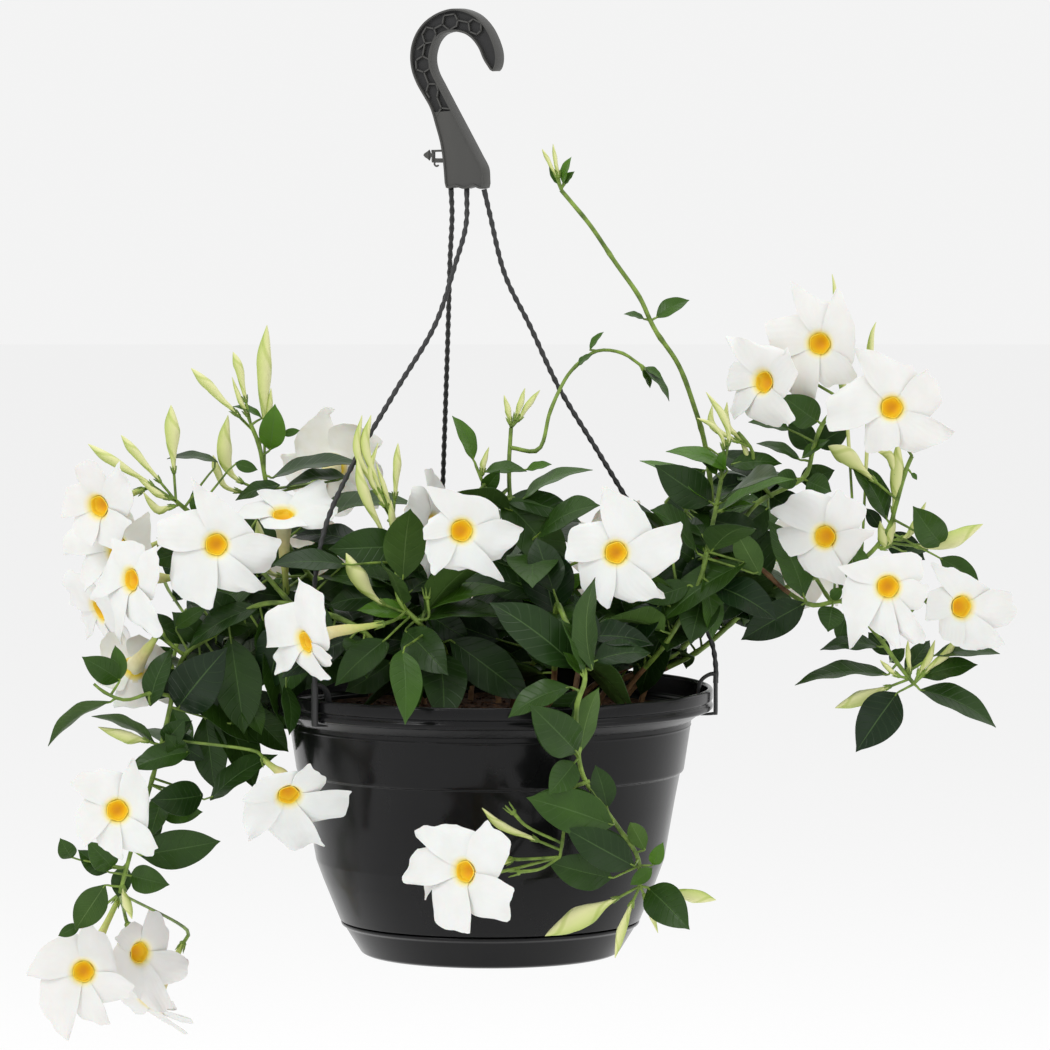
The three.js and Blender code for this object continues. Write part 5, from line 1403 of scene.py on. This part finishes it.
# Further leaves of the thickets, as above, each with how far behind its cane it lies
crowding = {
    "left_trail": (
        (190, 752, 131, 768, 24, "", -12), (163, 748, 186, 718, 22, "", -6), (165, 792, 150, 838, 22, "", -8),
        (224, 640, 250, 702, 30, "", 16), (266, 640, 283, 727, 32, "", 12),
        (300, 640, 292, 700, 30, "", 16), (212, 700, 255, 790, 36, "", 18),
        (240, 705, 288, 752, 30, "", 22), (205, 715, 215, 790, 34, "", 24),
        (250, 690, 290, 730, 28, "", 24), (215, 632, 262, 612, 26, "", 22),
        (205, 640, 172, 612, 26, "", 20), (235, 620, 205, 590, 28, "", 24),
        (345, 650, 305, 690, 30, "", 14), (140, 845, 163, 815, 20, "", 12),
        (108, 872, 78, 850, 22, "", 13), (125, 865, 118, 898, 20, "u", 12),
        (172, 745, 192, 720, 12, "", 10), (322, 640, 310, 592, 26, "", -50),
        (180, 660, 222, 690, 34, "", 22), (176, 670, 152, 700, 26, "", 20),
        (190, 650, 232, 655, 30, "", 26), (168, 735, 205, 760, 24, "", 18)),
    "left_upper": (
        (318, 628, 280, 590, 32, "", 34), (300, 610, 345, 580, 30, "", 34),
        (285, 597, 240, 590, 28, "", 36), (262, 575, 215, 600, 26, "", 32),
        (275, 590, 300, 640, 28, "", 36), (255, 565, 290, 540, 24, "", 34),
        (196, 548, 150, 562, 26, "", 30), (205, 560, 172, 602, 24, "", 30),
        (238, 552, 232, 600, 26, "", 36)),
    "left_top": (
        (330, 640, 352, 600, 30, "", 32), (310, 620, 340, 650, 28, "", 30),
        (322, 592, 360, 565, 26, "", 32), (312, 580, 285, 545, 26, "", 34),
        (300, 560, 345, 545, 22, "", 32), (285, 540, 250, 560, 22, "", 30),
        (280, 530, 330, 520, 22, "", 36)),
    "crown_left": (
        (425, 612, 470, 640, 30, "", 34), (392, 662, 345, 692, 32, "", 28), (440, 527, 396, 533, 22, "", 52),
        (365, 545, 292, 536, 20, "", 44), (405, 560, 350, 596, 34, "", 64),
        (398, 585, 318, 578, 24, "", 38), (396, 600, 325, 604, 28, "", 36),
        (420, 660, 372, 690, 30, "", 42), (402, 590, 440, 556, 28, "", 46),
        (408, 570, 428, 610, 26, "", 46), (430, 640, 470, 690, 34, "", 48),
        (425, 650, 425, 700, 28, "", 52), (400, 560, 440, 530, 26, "", 44),
        (402, 650, 407, 722, 30, "", -90), (346, 565, 272, 566, 20, "", -30)),
    "crown_middle": (
        (500, 640, 440, 618, 30, "", 20), (530, 590, 468, 600, 24, "", 36),
        (540, 620, 470, 612, 30, "", 46), (540, 640, 478, 668, 34, "", 48),
        (535, 600, 470, 640, 34, "", 52), (548, 655, 500, 690, 30, "", 52),
        (552, 600, 618, 640, 34, "", 42), (556, 640, 632, 668, 36, "", 36),
        (520, 530, 470, 560, 30, "", 44)),
    "front_trail": (
        (590, 662, 577, 592, 22, "", 20), (580, 690, 545, 740, 30, "", 22), (613, 825, 527, 798, 43, "", -20),
        (634, 866, 565, 828, 36, "", -26), (577, 752, 530, 705, 40, "", -8)),
    "tall_shoot": (
        (705, 470, 668, 500, 26, "", 30), (708, 490, 752, 480, 24, "", 30),
        (700, 600, 650, 630, 32, "", 26)),
    "right_inner": (
        (662, 603, 603, 676, 34, "", -4), (668, 622, 640, 696, 34, "", 28),
        (705, 585, 690, 645, 40, "", 22), (690, 575, 650, 560, 26, "", 38),
        (695, 560, 650, 530, 30, "", 40), (705, 545, 660, 510, 28, "", 36),
        (712, 520, 760, 530, 26, "", 38), (700, 570, 740, 600, 30, "", 34),
        (722, 512, 757, 497, 14, "", 22), (708, 548, 684, 512, 20, "", 22),
        (712, 560, 680, 585, 26, "", 32)),
    "right_low": (
        (752, 566, 775, 598, 24, "u", 26), (745, 580, 718, 622, 30, "", 34),
        (770, 590, 752, 627, 28, "", 28), (890, 655, 868, 632, 16, "", 22),
        (890, 662, 905, 648, 14, "", 22), (848, 612, 838, 642, 18, "", 22),
        (905, 672, 930, 640, 18, "", 36)),
    "right_upper": (
        (768, 508, 722, 545, 36, "", 30), (748, 572, 716, 598, 22, "", 30),
        (812, 450, 790, 415, 26, "", 36), (815, 445, 850, 425, 26, "", 38),
        (800, 480, 835, 470, 24, "", 36), (770, 495, 810, 520, 30, "", 38)),
    "right_far": (
        (880, 528, 866, 508, 14, "", 22), (905, 552, 930, 548, 10, "", 22),
        (862, 560, 830, 545, 28, "", 36), (885, 535, 925, 560, 26, "", 36),
        (850, 565, 880, 600, 26, "", 38)),
    "back_left": (
        (178, 640, 140, 680, 28, "", 4), (168, 700, 190, 750, 26, "", 4), (185, 610, 225, 650, 28, "", 4),
        (205, 585, 160, 560, 26, "", 4), (172, 680, 215, 700, 28, "", 8)),
    "back_trail": (
        (478, 830, 520, 870, 28, "", 6), (470, 884, 440, 925, 24, "", 4), (484, 760, 530, 790, 30, "", 4),
        (480, 800, 440, 840, 28, "", 4), (470, 884, 500, 930, 26, "", 8))}

# Seeded leaves in pairs up the canes, which fill these parts of the picture and hide no bloom
crowd = {
    "spacing": 12, "least": 36, "more": 24, "clear": 58, "behind": 20, "rim": -400, "wall": 142, "buds": 24,
    "fields": ((285, 500, 690, 668), (150, 585, 290, 760), (655, 462, 830, 636)),
}

fillers = {
    "left_trail": {"seed": 2, "pairs": 2},
    "left_upper": {"seed": 3, "pairs": 3},
    "left_top": {"seed": 5, "pairs": 3},
    "crown_left": {"seed": 7, "pairs": 4},
    "crown_middle": {"seed": 13, "pairs": 5},
    "front_trail": {"seed": 31, "pairs": 2},
    "tall_shoot": {"seed": 41, "pairs": 3},
    "right_inner": {"seed": 17, "pairs": 4},
    "right_upper": {"seed": 19, "pairs": 3},
    "right_low": {"seed": 29, "pairs": 3},
    "right_far": {"seed": 43, "pairs": 3},
    "back_left": {"seed": 11, "pairs": 6},
    "back_middle": {"seed": 23, "pairs": 5},
    "back_right": {"seed": 37, "pairs": 6},
    "back_trail": {"seed": 53, "pairs": 5},
}

stemForm = {
    "cane": 1.8, "twig": 1.3, "stalk": 0.9, "shortestStalk": 4, "step": 30, "row": 4.0, "rootDepth": 20,
    "crown": -410, "jointSpacing": 30, "jointSwell": 0.22, "pairSpacing": 26, "slender": 0.5, "fit": 2.4,
    "budFit": 4.5, "swings": (0, 0.5, -0.5, 1, -1), "shifts": (0, -8, 8, -16, 16, -24, 24, -34, 34, -46, 46),
    "thickets": ((290, 500, 720, 650), (290, 650, 620, 690), (130, 500, 300, 740), (700, 470, 900, 630),
                 (310, 690, 690, 950)),
}
# Canes are brown inside the pot, and two of them further up, as far as a pixel
bark = {"radius": 112, "top": -382, "stems": ("right_low", "back_right"), "until": 790}
leafForm = {
    "columns": 10, "rows": 17, "thickness": 0.34, "arch": 0.08, "fold": 0.17, "wave": 0.9, "waves": 15,
    "curl": 0.10, "bow": 0.02,
    "widths": (0.06, 0.29, 0.53, 0.715, 0.845, 0.93, 0.98, 1.0, 1.0, 0.98, 0.935, 0.87, 0.78, 0.665, 0.52,
               0.345, 0.14, 0.0),
}
# How bright a leaf is, where it isn't the usual: the leaf's base gives the key
tones = {
    (178, 708): 0.0, (805, 603): 0.05, (897, 693): 0.0, (270, 450): 0.95, (412, 616): 0.9, (402, 650): 0.45,
    (653, 865): 0.9, (570, 687): 0.3, (613, 825): 0.35, (745, 563): 0.3, (560, 186): 1.0, (715, 505): 0.9,
    (728, 470): 0.85, (722, 480): 0.8, (722, 510): 0.7, (722, 482): 0.95, (715, 512): 0.9, (425, 610): 0.55,
    (553, 600): 0.8, (558, 598): 0.8, (475, 463): 0.75, (526, 470): 0.7, (522, 500): 0.5,
}


# A number from 0 to 1 that a seed always gives
def scatter(seed):
    value = math.sin(seed * 12.9898) * 43758.5453
    return value - math.floor(value)


# A leaf's blade in space, from what shows of it: a wide blade leans, a narrow one is turned
def bladeSeen(foot, leaf, shift, sign):
    baseX, baseY, tipX, tipY, width, *rest = leaf
    flag = rest[0] if rest else ""
    length = math.hypot(tipX - baseX, tipY - baseY) * picture["scale"]
    shown = width * picture["scale"]
    steep = shown > stemForm["slender"] * length
    lean = min(math.sqrt((shown / stemForm["slender"]) ** 2 - length ** 2), 0.9 * length) if steep else 0
    full = shown if steep else max(shown, stemForm["slender"] * length * 0.92)
    roll = 0 if steep else min(math.acos(min(shown / full, 1)), 1.25)
    base = seen(baseX, baseY, foot.y + shift * 0.6)
    tip = seen(tipX, tipY, base.y + shift * 0.4 + (lean if flag == "a" else -lean) * sign)
    ahead = (tip - base).normalized()
    facing = (-gaze + ahead * gaze.dot(ahead)).normalized()
    turn = roll if (facing.cross(ahead).z > 0) == (flag == "u") else -roll
    normal = Quaternion(ahead, turn) @ facing
    return {"foot": foot, "base": base, "tip": tip, "width": full, "top": -normal if flag == "u" else normal}


# The blade's midline, its start after the stalk and its two axes
def bladeLine(blade):
    foot, base, tip = blade["foot"], blade["base"], blade["tip"]
    start = base
    if (base - foot).length < stemForm["shortestStalk"]:
        start = foot + (tip - foot).normalized() * stemForm["shortestStalk"]
    reach = tip - start
    crest = start.lerp(tip, 0.5) + blade["top"] * reach.length * leafForm["arch"] * 2
    ahead = reach.normalized()
    normal = (blade["top"] - ahead * blade["top"].dot(ahead)).normalized()
    return start, crest, tip, normal.cross(ahead), normal


def bezier(a, b, c, t):
    return a * (1 - t) ** 2 + b * (2 * t * (1 - t)) + c * t ** 2


# How far places lie from the solid stem's faces, on average
def missOf(tree, spots):
    return sum(tree.find_nearest(spot * mm)[3] for spot in spots) / len(spots) / mm


# The same for a blade, so that the attitude is chosen that it has in the solids
def bladeMiss(tree, blade):
    start, crest, tip, side, _ = bladeLine(blade)
    spots = [bezier(start, crest, tip, t) for t in (0.3, 0.6, 0.85, 0.99)]
    middle = bezier(start, crest, tip, 0.5)
    spots += [middle + side * blade["width"] * 0.42, middle - side * blade["width"] * 0.42]
    return missOf(tree, spots)


def makeLeaf(build, blade, tone, draw):
    start, crest, tip, side, normal = bladeLine(blade)
    length = (tip - start).length
    foot = blade["foot"]
    stalk = smoothWay([foot, foot.lerp(start, 0.6) + normal * 0.3, start, bezier(start, crest, tip, 0.06)], 6)
    tube(build, stalk, lambda t: mix(stemForm["stalk"] * 0.95, 0.55, t), 7, 2)
    half = blade["width"] / 2
    small = clamp(length / 45, 0.25, 1)
    wave = leafForm["wave"] * small * (0.6 + 0.8 * scatter(draw + 1.3))
    fold = leafForm["fold"] * (0.6 + scatter(draw))
    curl = (scatter(draw + 2.1) - 0.35) * leafForm["curl"]
    bend = (scatter(draw + 3.7) - 0.5) * 2 * leafForm["bow"]

    def placeOf(a, b):
        across = (a - 0.5) * 2
        wide = along(leafForm["widths"], b)
        x = across * half * wide * 1.03
        phase = b * leafForm["waves"] + draw + (1.8 if across > 0 else 0)
        lift = abs(x) * fold + wave * math.sin(phase) * across ** 2 * (1 - 0.5 * b) * wide
        lift -= length * curl * b ** 2.5
        bow = length * bend * math.sin(b * math.pi)
        return bezier(start, crest, tip, b) + side * (x * math.cos(fold * 0.8) + bow) + normal * lift

    made, faces = sheet(build, leafForm["columns"], leafForm["rows"], placeOf, {"tone": lambda a, b: tone})
    faces = merged(build, made, faces, 0.002)
    bmesh.ops.recalc_face_normals(build, faces=faces)
    if sum(face.normal.dot(normal) for face in faces) < 0:
        bmesh.ops.reverse_faces(build, faces=faces)
    thick = leafForm["thickness"] * clamp(length / 30, 0.5, 1)
    back = bmesh.ops.solidify(build, geom=faces, thickness=thick)["geom"]
    for face in back:
        if isinstance(face, bmesh.types.BMFace) and face.normal.dot(normal) < 0.2:
            face.material_index = 1
    for face in faces:
        if face.normal.dot(normal) < -0.1:
            face.material_index = 1


# A furled bud on its stalk, with the small green calyx at its foot
def makeBud(build, foot, bud, shift):
    tipX, tipY, bellyX, bellyY, width, footX, footY = bud
    belly, tip = seen(bellyX, bellyY, foot.y + shift), seen(tipX, tipY, foot.y + shift * 1.1)
    neck = belly.lerp(seen(footX, footY, foot.y), 0.5)
    full = max(width * picture["scale"] / 2, 1.2)
    stops = [foot, neck, belly, tip]
    way = smoothWay(stops, max(round(wayLength(stops) / 2.2), 12))
    bellyAt = min(range(len(way)), key=lambda i: (way[i] - belly).length)
    neckAt = min(range(len(way)), key=lambda i: (way[i] - neck).length)
    stalkEnd = max(1, min(round(neckAt * 0.75), len(way) - 4))
    tube(build, way[:stalkEnd + 1], lambda t: 0.85, 7, 2)
    body = way[stalkEnd:]
    split = clamp((bellyAt - stalkEnd) / max(len(body) - 1, 1), 0.2, 0.8)

    def radiusOf(t):
        if t < split:
            return mix(min(1.1, full), full, math.sin(t / split * math.pi / 2) ** 2.3)
        return full * (1 - ((t - split) / (1 - split)) ** 1.7) + 0.15

    def furl(turn, t):
        swell = 1 + 0.07 * math.cos(5 * turn + t * 14)
        return swell, swell

    tube(build, body, radiusOf, 12, 4, lobes=furl)
    addCalyx(build, body[0], (body[1] - body[0]).normalized(), 1.35, 3.4)


# Five narrow teeth that clasp the foot of a bud or a bloom
def addCalyx(build, spot, ahead, radius, length):
    side = ahead.orthogonal().normalized()
    cup = [spot - ahead * 1.6, spot - ahead * 0.8, spot, spot + ahead * 0.7]
    tube(build, cup, lambda t: along([radius * 0.6, radius, radius * 1.1, radius], t), 8, 2)
    for k in range(5):
        arm = Quaternion(ahead, k * 2 * math.pi / 5) @ side
        way = [spot + arm * radius * 0.7,
               spot + arm * (radius + 0.15) + ahead * length * 0.4,
               spot + arm * (radius + 0.4) + ahead * length * 0.75,
               spot + arm * (radius + 0.9) + ahead * length]
        tube(build, way, lambda t: along([0.5, 0.55, 0.4, 0.12], t), 5, 2)


# The canes of a stem: coarse points for choosing where leaves start, and fine ones for the surface
def canesOf(stem):
    crown = Vector((stem["root"][0], stem["root"][1], stemForm["crown"]))
    samples, fine = [], []
    for i, route in enumerate(stem["routes"]):
        if i == 0:
            start = [crown - up * stemForm["rootDepth"], crown + up * 6]
        else:
            start = [nearest(samples, *route[0][:2])]
        points = [*start, *[seen(*stop) for stop in route]]
        length = wayLength(smoothWay(points, 200))
        joints = smoothWay(points, round(length / stemForm["step"]))
        for j, (a, b) in enumerate(zip(joints, joints[1:])):
            for part in range(8):
                if i > 0 or j > 0:
                    spot = a.lerp(b, part / 8)
                    samples.append((spot, pixelOf(spot)))
        samples.append((joints[-1], pixelOf(joints[-1])))
        fine.append(smoothWay(points, round(length / stemForm["row"])))
    return samples, fine


def nearest(samples, px, py):
    return min(samples, key=lambda sample: math.hypot(sample[1][0] - px, sample[1][1] - py))[0]


# The place on the fine canes next to a place on the coarse ones
def onCane(fine, spot):
    return min((place for way in fine for place in way), key=lambda place: (place - spot).length).copy()


# Leaves in pairs up a cane, each pair crosswise to the one below it. A leaf may swing round its
# cane to a clear place, so each comes as a list of blades.
def pairedBlades(samples, seed, pairs):
    stride = round(stemForm["pairSpacing"] / (samples[0][0] - samples[1][0]).length)
    leaves = []
    for pair in range(pairs):
        i = (pair + 1) * stride
        if i >= len(samples) - 1:
            break
        spot = samples[i][0]
        cane = (samples[i + 1][0] - samples[i - 1][0]).normalized()
        turn = Quaternion(cane, (pair % 2) * 1.4 + scatter(seed + pair) * 0.5)
        across = turn @ cane.cross((0, 1, 0.2)).normalized()
        for leaf, sign in enumerate((1, -1)):
            draw = scatter(seed * 3 + pair * 2 + leaf)
            length = 50 + 14 * draw
            blades = []
            for swing in stemForm["swings"]:
                way = Quaternion(cane, swing) @ (across * sign) + cane * 0.4 + Vector((0, 0.35, 0.15 - draw))
                way.normalize()
                base = spot + way * 7
                top = (up - way * up.dot(way) + Vector((0, 0.5, 0))).normalized()
                blades.append({"foot": spot, "base": base, "tip": base + way * length,
                               "width": length * stemForm["slender"], "top": top})
            leaves.append(blades)
    return leaves


def inFields(fields, px, py):
    return any(left < px < right and top < py < low for left, top, right, low in fields)


# Whether a crowding leaf stays in its fields, above the rim and off every bud and bloom
def isClear(blade):
    middle = blade["base"].lerp(blade["tip"], 0.5)
    for spot in (middle, blade["tip"]):
        px, py = pixelOf(spot)
        if not inFields(crowd["fields"], px, py):
            return False
        if spot.z < crowd["rim"] and math.hypot(spot.x - pot["axis"].x, spot.y) < crowd["wall"]:
            return False
        if any(math.hypot(px - bud[2], py - bud[3]) < crowd["buds"] for stem in stems.values()
               for bud in stem.get("buds", ())):
            return False
        for bloom in blooms.values():
            mouthX, mouthY, depth = bloom["at"]
            if spot.y < depth + crowd["behind"] and math.hypot(px - mouthX, py - mouthY) < crowd["clear"]:
                return False
    return True


# The small leaves that crowd round the canes, as far as they keep clear of everything else
def crowdBlades(samples, seed):
    gap = (samples[0][0] - samples[1][0]).length
    blades = []
    for pair, i in enumerate(range(3, len(samples) - 2, max(round(crowd["spacing"] / gap), 1))):
        spot = samples[i][0]
        cane = samples[i + 1][0] - samples[i - 1][0]
        if cane.length > gap * 4:
            continue
        cane.normalize()
        across = Quaternion(cane, (pair % 2) * 1.5 + scatter(seed + pair * 3) * 1.2) @ cane.cross((0, 1, 0.2))
        for sign in (1, -1):
            draw = scatter(seed * 5 + pair * 2.3 + sign)
            way = across.normalized() * sign + cane * 0.3
            way = (way + Vector((0, 0.9 - 0.6 * draw, 0.15 - 0.8 * scatter(draw + pair)))).normalized()
            base = spot + way * 8
            length = crowd["least"] + crowd["more"] * draw
            top = (up - way * up.dot(way) - gaze * 0.9).normalized()
            blades.append({"foot": spot, "base": base, "tip": base + way * length,
                           "width": length * (0.46 + 0.12 * scatter(draw)), "top": top})
    return [blade for blade in blades if isClear(blade)]


# The stalk of a bloom takes the way that lies nearest to the solid one
def makePedicel(build, tree, samples, fine, letter):
    bloom = blooms[letter]
    base, inward = bloomBase(bloom), bloomInward(bloom)
    foot = nearest(samples, *pixelOf(base))
    start = base + inward * 0.45
    ways = []
    for swing in (0, -9, 9, -18, 18):
        for sway in (0, 9, -9, 18, -18):
            bend = start + inward * 9 + Vector((0, sway, swing))
            way = smoothWay([foot, bend, start + inward * 3, start], 14)
            miss = max(tree.find_nearest(spot * mm)[3] for spot in way) / mm
            ways.append((miss, way))
    way = min(ways, key=lambda item: item[0])[1]
    way[0] = onCane(fine, foot)
    tube(build, way, lambda t: mix(0.9, 1.25, t ** 3), 7, 2)
    addCalyx(build, start, -inward, 2.1, 5.5)


def makeCane(build, name, way, radius):
    joints = wayLength(way) / stemForm["jointSpacing"]

    def radiusOf(t):
        swell = 1 + stemForm["jointSwell"] * math.exp(-((t * joints % 1 - 0.5) * 16) ** 2)
        return radius * mix(1, 0.72, t) * swell

    for face in tube(build, way, radiusOf, 8, 2):
        middle = face.calc_center_median()
        inPot = math.hypot(middle.x - pot["axis"].x, middle.y) < bark["radius"] and middle.z < bark["top"]
        if inPot or (name in bark["stems"] and pixelOf(middle)[0] < bark["until"]):
            face.material_index = 3


# The leaves that the solid stem has too. Each takes the depth and lean at which it lies in the solid;
# one that the solid lacks is left out.
def addSolidLeaves(build, tree, samples, fine, leaves):
    kept = 0
    for leaf in leaves:
        foot = nearest(samples, leaf[0], leaf[1])
        tries = [bladeSeen(foot, leaf, shift, sign) for shift in stemForm["shifts"] for sign in (1, -1)]
        blade = min(tries, key=lambda item: bladeMiss(tree, item))
        if bladeMiss(tree, blade) > stemForm["fit"]:
            continue
        addLeaf(build, fine, leaf, blade)
        kept += 1
    return kept


# A leaf read off the photograph; the smaller, the brighter
def addLeaf(build, fine, leaf, blade):
    blade["foot"] = onCane(fine, blade["foot"])
    draw = leaf[0] * 0.37 + leaf[1] * 0.11
    size = clamp((blade["tip"] - blade["base"]).length / 60, 0, 1)
    tone = clamp(0.06 + 0.3 * scatter(draw) + 0.5 * (1 - size) ** 2, 0, 1)
    makeLeaf(build, blade, tones.get(tuple(leaf[:2]), tone), draw)


# The buds that the solid stem has too, each at the depth at which it lies there
def addSolidBuds(build, tree, samples, fine, buds):
    for bud in buds:
        foot = nearest(samples, bud[5], bud[6])
        misses = []
        for shift in stemForm["shifts"]:
            spots = (seen(bud[2], bud[3], foot.y + shift), seen(bud[0], bud[1], foot.y + shift * 1.1))
            misses.append((missOf(tree, spots), abs(shift), shift))
        miss, _, shift = min(misses)
        if miss < stemForm["budFit"]:
            makeBud(build, onCane(fine, foot), bud, shift)


# Seeded pairs of leaves, as far as the solid stem has them in the thick of the plant
def addFillers(build, tree, samples, fine, name):
    kept = 0
    for k, blades in enumerate(pairedBlades(samples, **fillers[name])):
        blades = [blade for blade in blades if inFields(stemForm["thickets"], *pixelOf(blade["tip"]))]
        if not blades:
            continue
        blade = min(blades, key=lambda item: bladeMiss(tree, item))
        if bladeMiss(tree, blade) < stemForm["fit"]:
            blade["foot"] = onCane(fine, blade["foot"])
            makeLeaf(build, blade, 0.08 + 0.3 * scatter(k * 1.7 + fillers[name]["seed"]), k * 2.3)
            kept += 1
    return kept


def makeStem(name):
    stem, small = stems[name], smallThings.get(name, {})
    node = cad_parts["stem_" + name]
    tree = BVHTree.FromPolygons([vert.co for vert in node.data.vertices],
                                [face.vertices for face in node.data.polygons])
    build = newBuild()
    samples, fine = canesOf(stem)
    canes = list(samples)
    for i, way in enumerate(fine):
        makeCane(build, name, way, stemForm["cane"] if i == 0 else stemForm["twig"])
    for letter in stem.get("blooms", ()):
        makePedicel(build, tree, samples, fine, letter)
    kept = addSolidLeaves(build, tree, samples, fine, stem.get("leaves", ()))
    for leaf in small.get("leaves", ()):
        foot = nearest(samples, leaf[0], leaf[1])
        addLeaf(build, fine, leaf, bladeSeen(foot, leaf, 0, 1))
    addSolidBuds(build, tree, samples, fine, stem.get("buds", ()))
    for bud in small.get("buds", ()):
        makeBud(build, onCane(fine, nearest(samples, bud[5], bud[6])), bud, 0)
    for endX, endY, bendX, bendY, footX, footY in stem.get("calyxes", ()):
        foot = nearest(samples, footX, footY)
        bend, end = seen(bendX, bendY, foot.y - 6), seen(endX, endY, foot.y - 6)
        tube(build, smoothWay([onCane(fine, foot), bend, end], 14), lambda t: mix(0.85, 1.2, t ** 3), 7, 2)
        addCalyx(build, end, (end - bend).normalized(), 2.0, 6.0)
    kept += addFillers(build, tree, samples, fine, name)
    for shoot in small.get("shoots", ()):
        points = [nearest(samples, *shoot[0][:2]), *[seen(*stop) for stop in shoot]]
        way = smoothWay(points, round(wayLength(points) / stemForm["row"]))
        tube(build, way, lambda t: stemForm["twig"] * mix(1, 0.7, t), 8, 2)
        fine.append(way)
        samples += [(spot, pixelOf(spot)) for spot in way]
    for leaf in crowding.get(name, ()):
        foot = nearest(samples, leaf[0], leaf[1])
        blade = bladeSeen(foot, leaf, leaf[6], 1)
        blade["foot"] = onCane(fine, foot)
        draw = leaf[0] * 0.53 + leaf[1] * 0.19
        makeLeaf(build, blade, tones.get(tuple(leaf[:2]), 0.3 * scatter(draw)), draw)
    crowded = crowdBlades(canes, fillers[name]["seed"])
    for k, blade in enumerate(crowded):
        blade["foot"] = onCane(fine, blade["foot"])
        makeLeaf(build, blade, 0.28 * scatter(k * 2.9 + fillers[name]["seed"]), k * 3.1)
    print(name, "made with", kept, "leaves of the solid and", len(crowded), "that crowd round them")
    materials = [leafFace, leafBack, caneGreen, caneWood, budCream]
    newPiece("stem" + name.title().replace("_", ""), build, materials, ["stem_" + name], 60)


for name in stems:
    makeStem(name)
print("stems made")


# Light, floor and camera
studio = {
    "floorSize": 14, "floorZ": -0.9, "floorColor": (0.97, 0.97, 0.97, 1), "middle": (0.04, 0, -0.3),
    "world": 0.9,
    "lights": {
        "keyLight": {"spot": (-1.5, -1.7, 1.5), "size": 1.0, "power": 19},
        "fillLight": {"spot": (1.9, -1.5, 0.2), "size": 1.6, "power": 5},
        "topLight": {"spot": (0.1, 0.5, 2.2), "size": 1.8, "power": 12}},
}


def makeFloor():
    build = bmesh.new()
    bmesh.ops.create_grid(build, x_segments=1, y_segments=1, size=studio["floorSize"])
    bmesh.ops.translate(build, vec=(0, 0, studio["floorZ"]), verts=build.verts)
    mesh = bpy.data.meshes.new("floor")
    build.to_mesh(mesh)
    build.free()
    material, _, shader = newMaterial("paleFloor", 0.9, 0.0)
    shader.inputs["Base Color"].default_value = studio["floorColor"]
    mesh.materials.append(material)
    floor = bpy.data.objects.new("floor", mesh)
    scene.collection.objects.link(floor)


def areaLight(name, spot, size, power):
    light = bpy.data.lights.new(name, "AREA")
    light.shape = "DISK"
    light.size = size
    light.energy = power
    lamp = bpy.data.objects.new(name, light)
    lamp.location = spot
    towards = Vector(studio["middle"]) - Vector(spot)
    lamp.rotation_euler = towards.to_track_quat("-Z", "Y").to_euler()
    scene.collection.objects.link(lamp)


def makeView():
    camera = bpy.data.cameras.new("camera")
    camera.sensor_width = picture["sensor"]
    camera.lens = picture["sensor"] * picture["distance"] / (picture["size"] * picture["scale"])
    camera.clip_end = 100
    holder = bpy.data.objects.new("camera", camera)
    holder.location = eye * mm
    holder.rotation_euler = (math.pi / 2 - picture["pitch"], 0, 0)
    scene.collection.objects.link(holder)
    scene.camera = holder


def makeLight():
    for name, light in studio["lights"].items():
        areaLight(name, **light)
    world = bpy.data.worlds.new("softWorld")
    world.use_nodes = True
    world.node_tree.nodes["Background"].inputs["Color"].default_value = (1, 1, 1, 1)
    world.node_tree.nodes["Background"].inputs["Strength"].default_value = studio["world"]
    scene.world = world
    scene.view_settings.view_transform = "Standard"


makeFloor()
makeView()
makeLight()
print("floor, camera and light made")
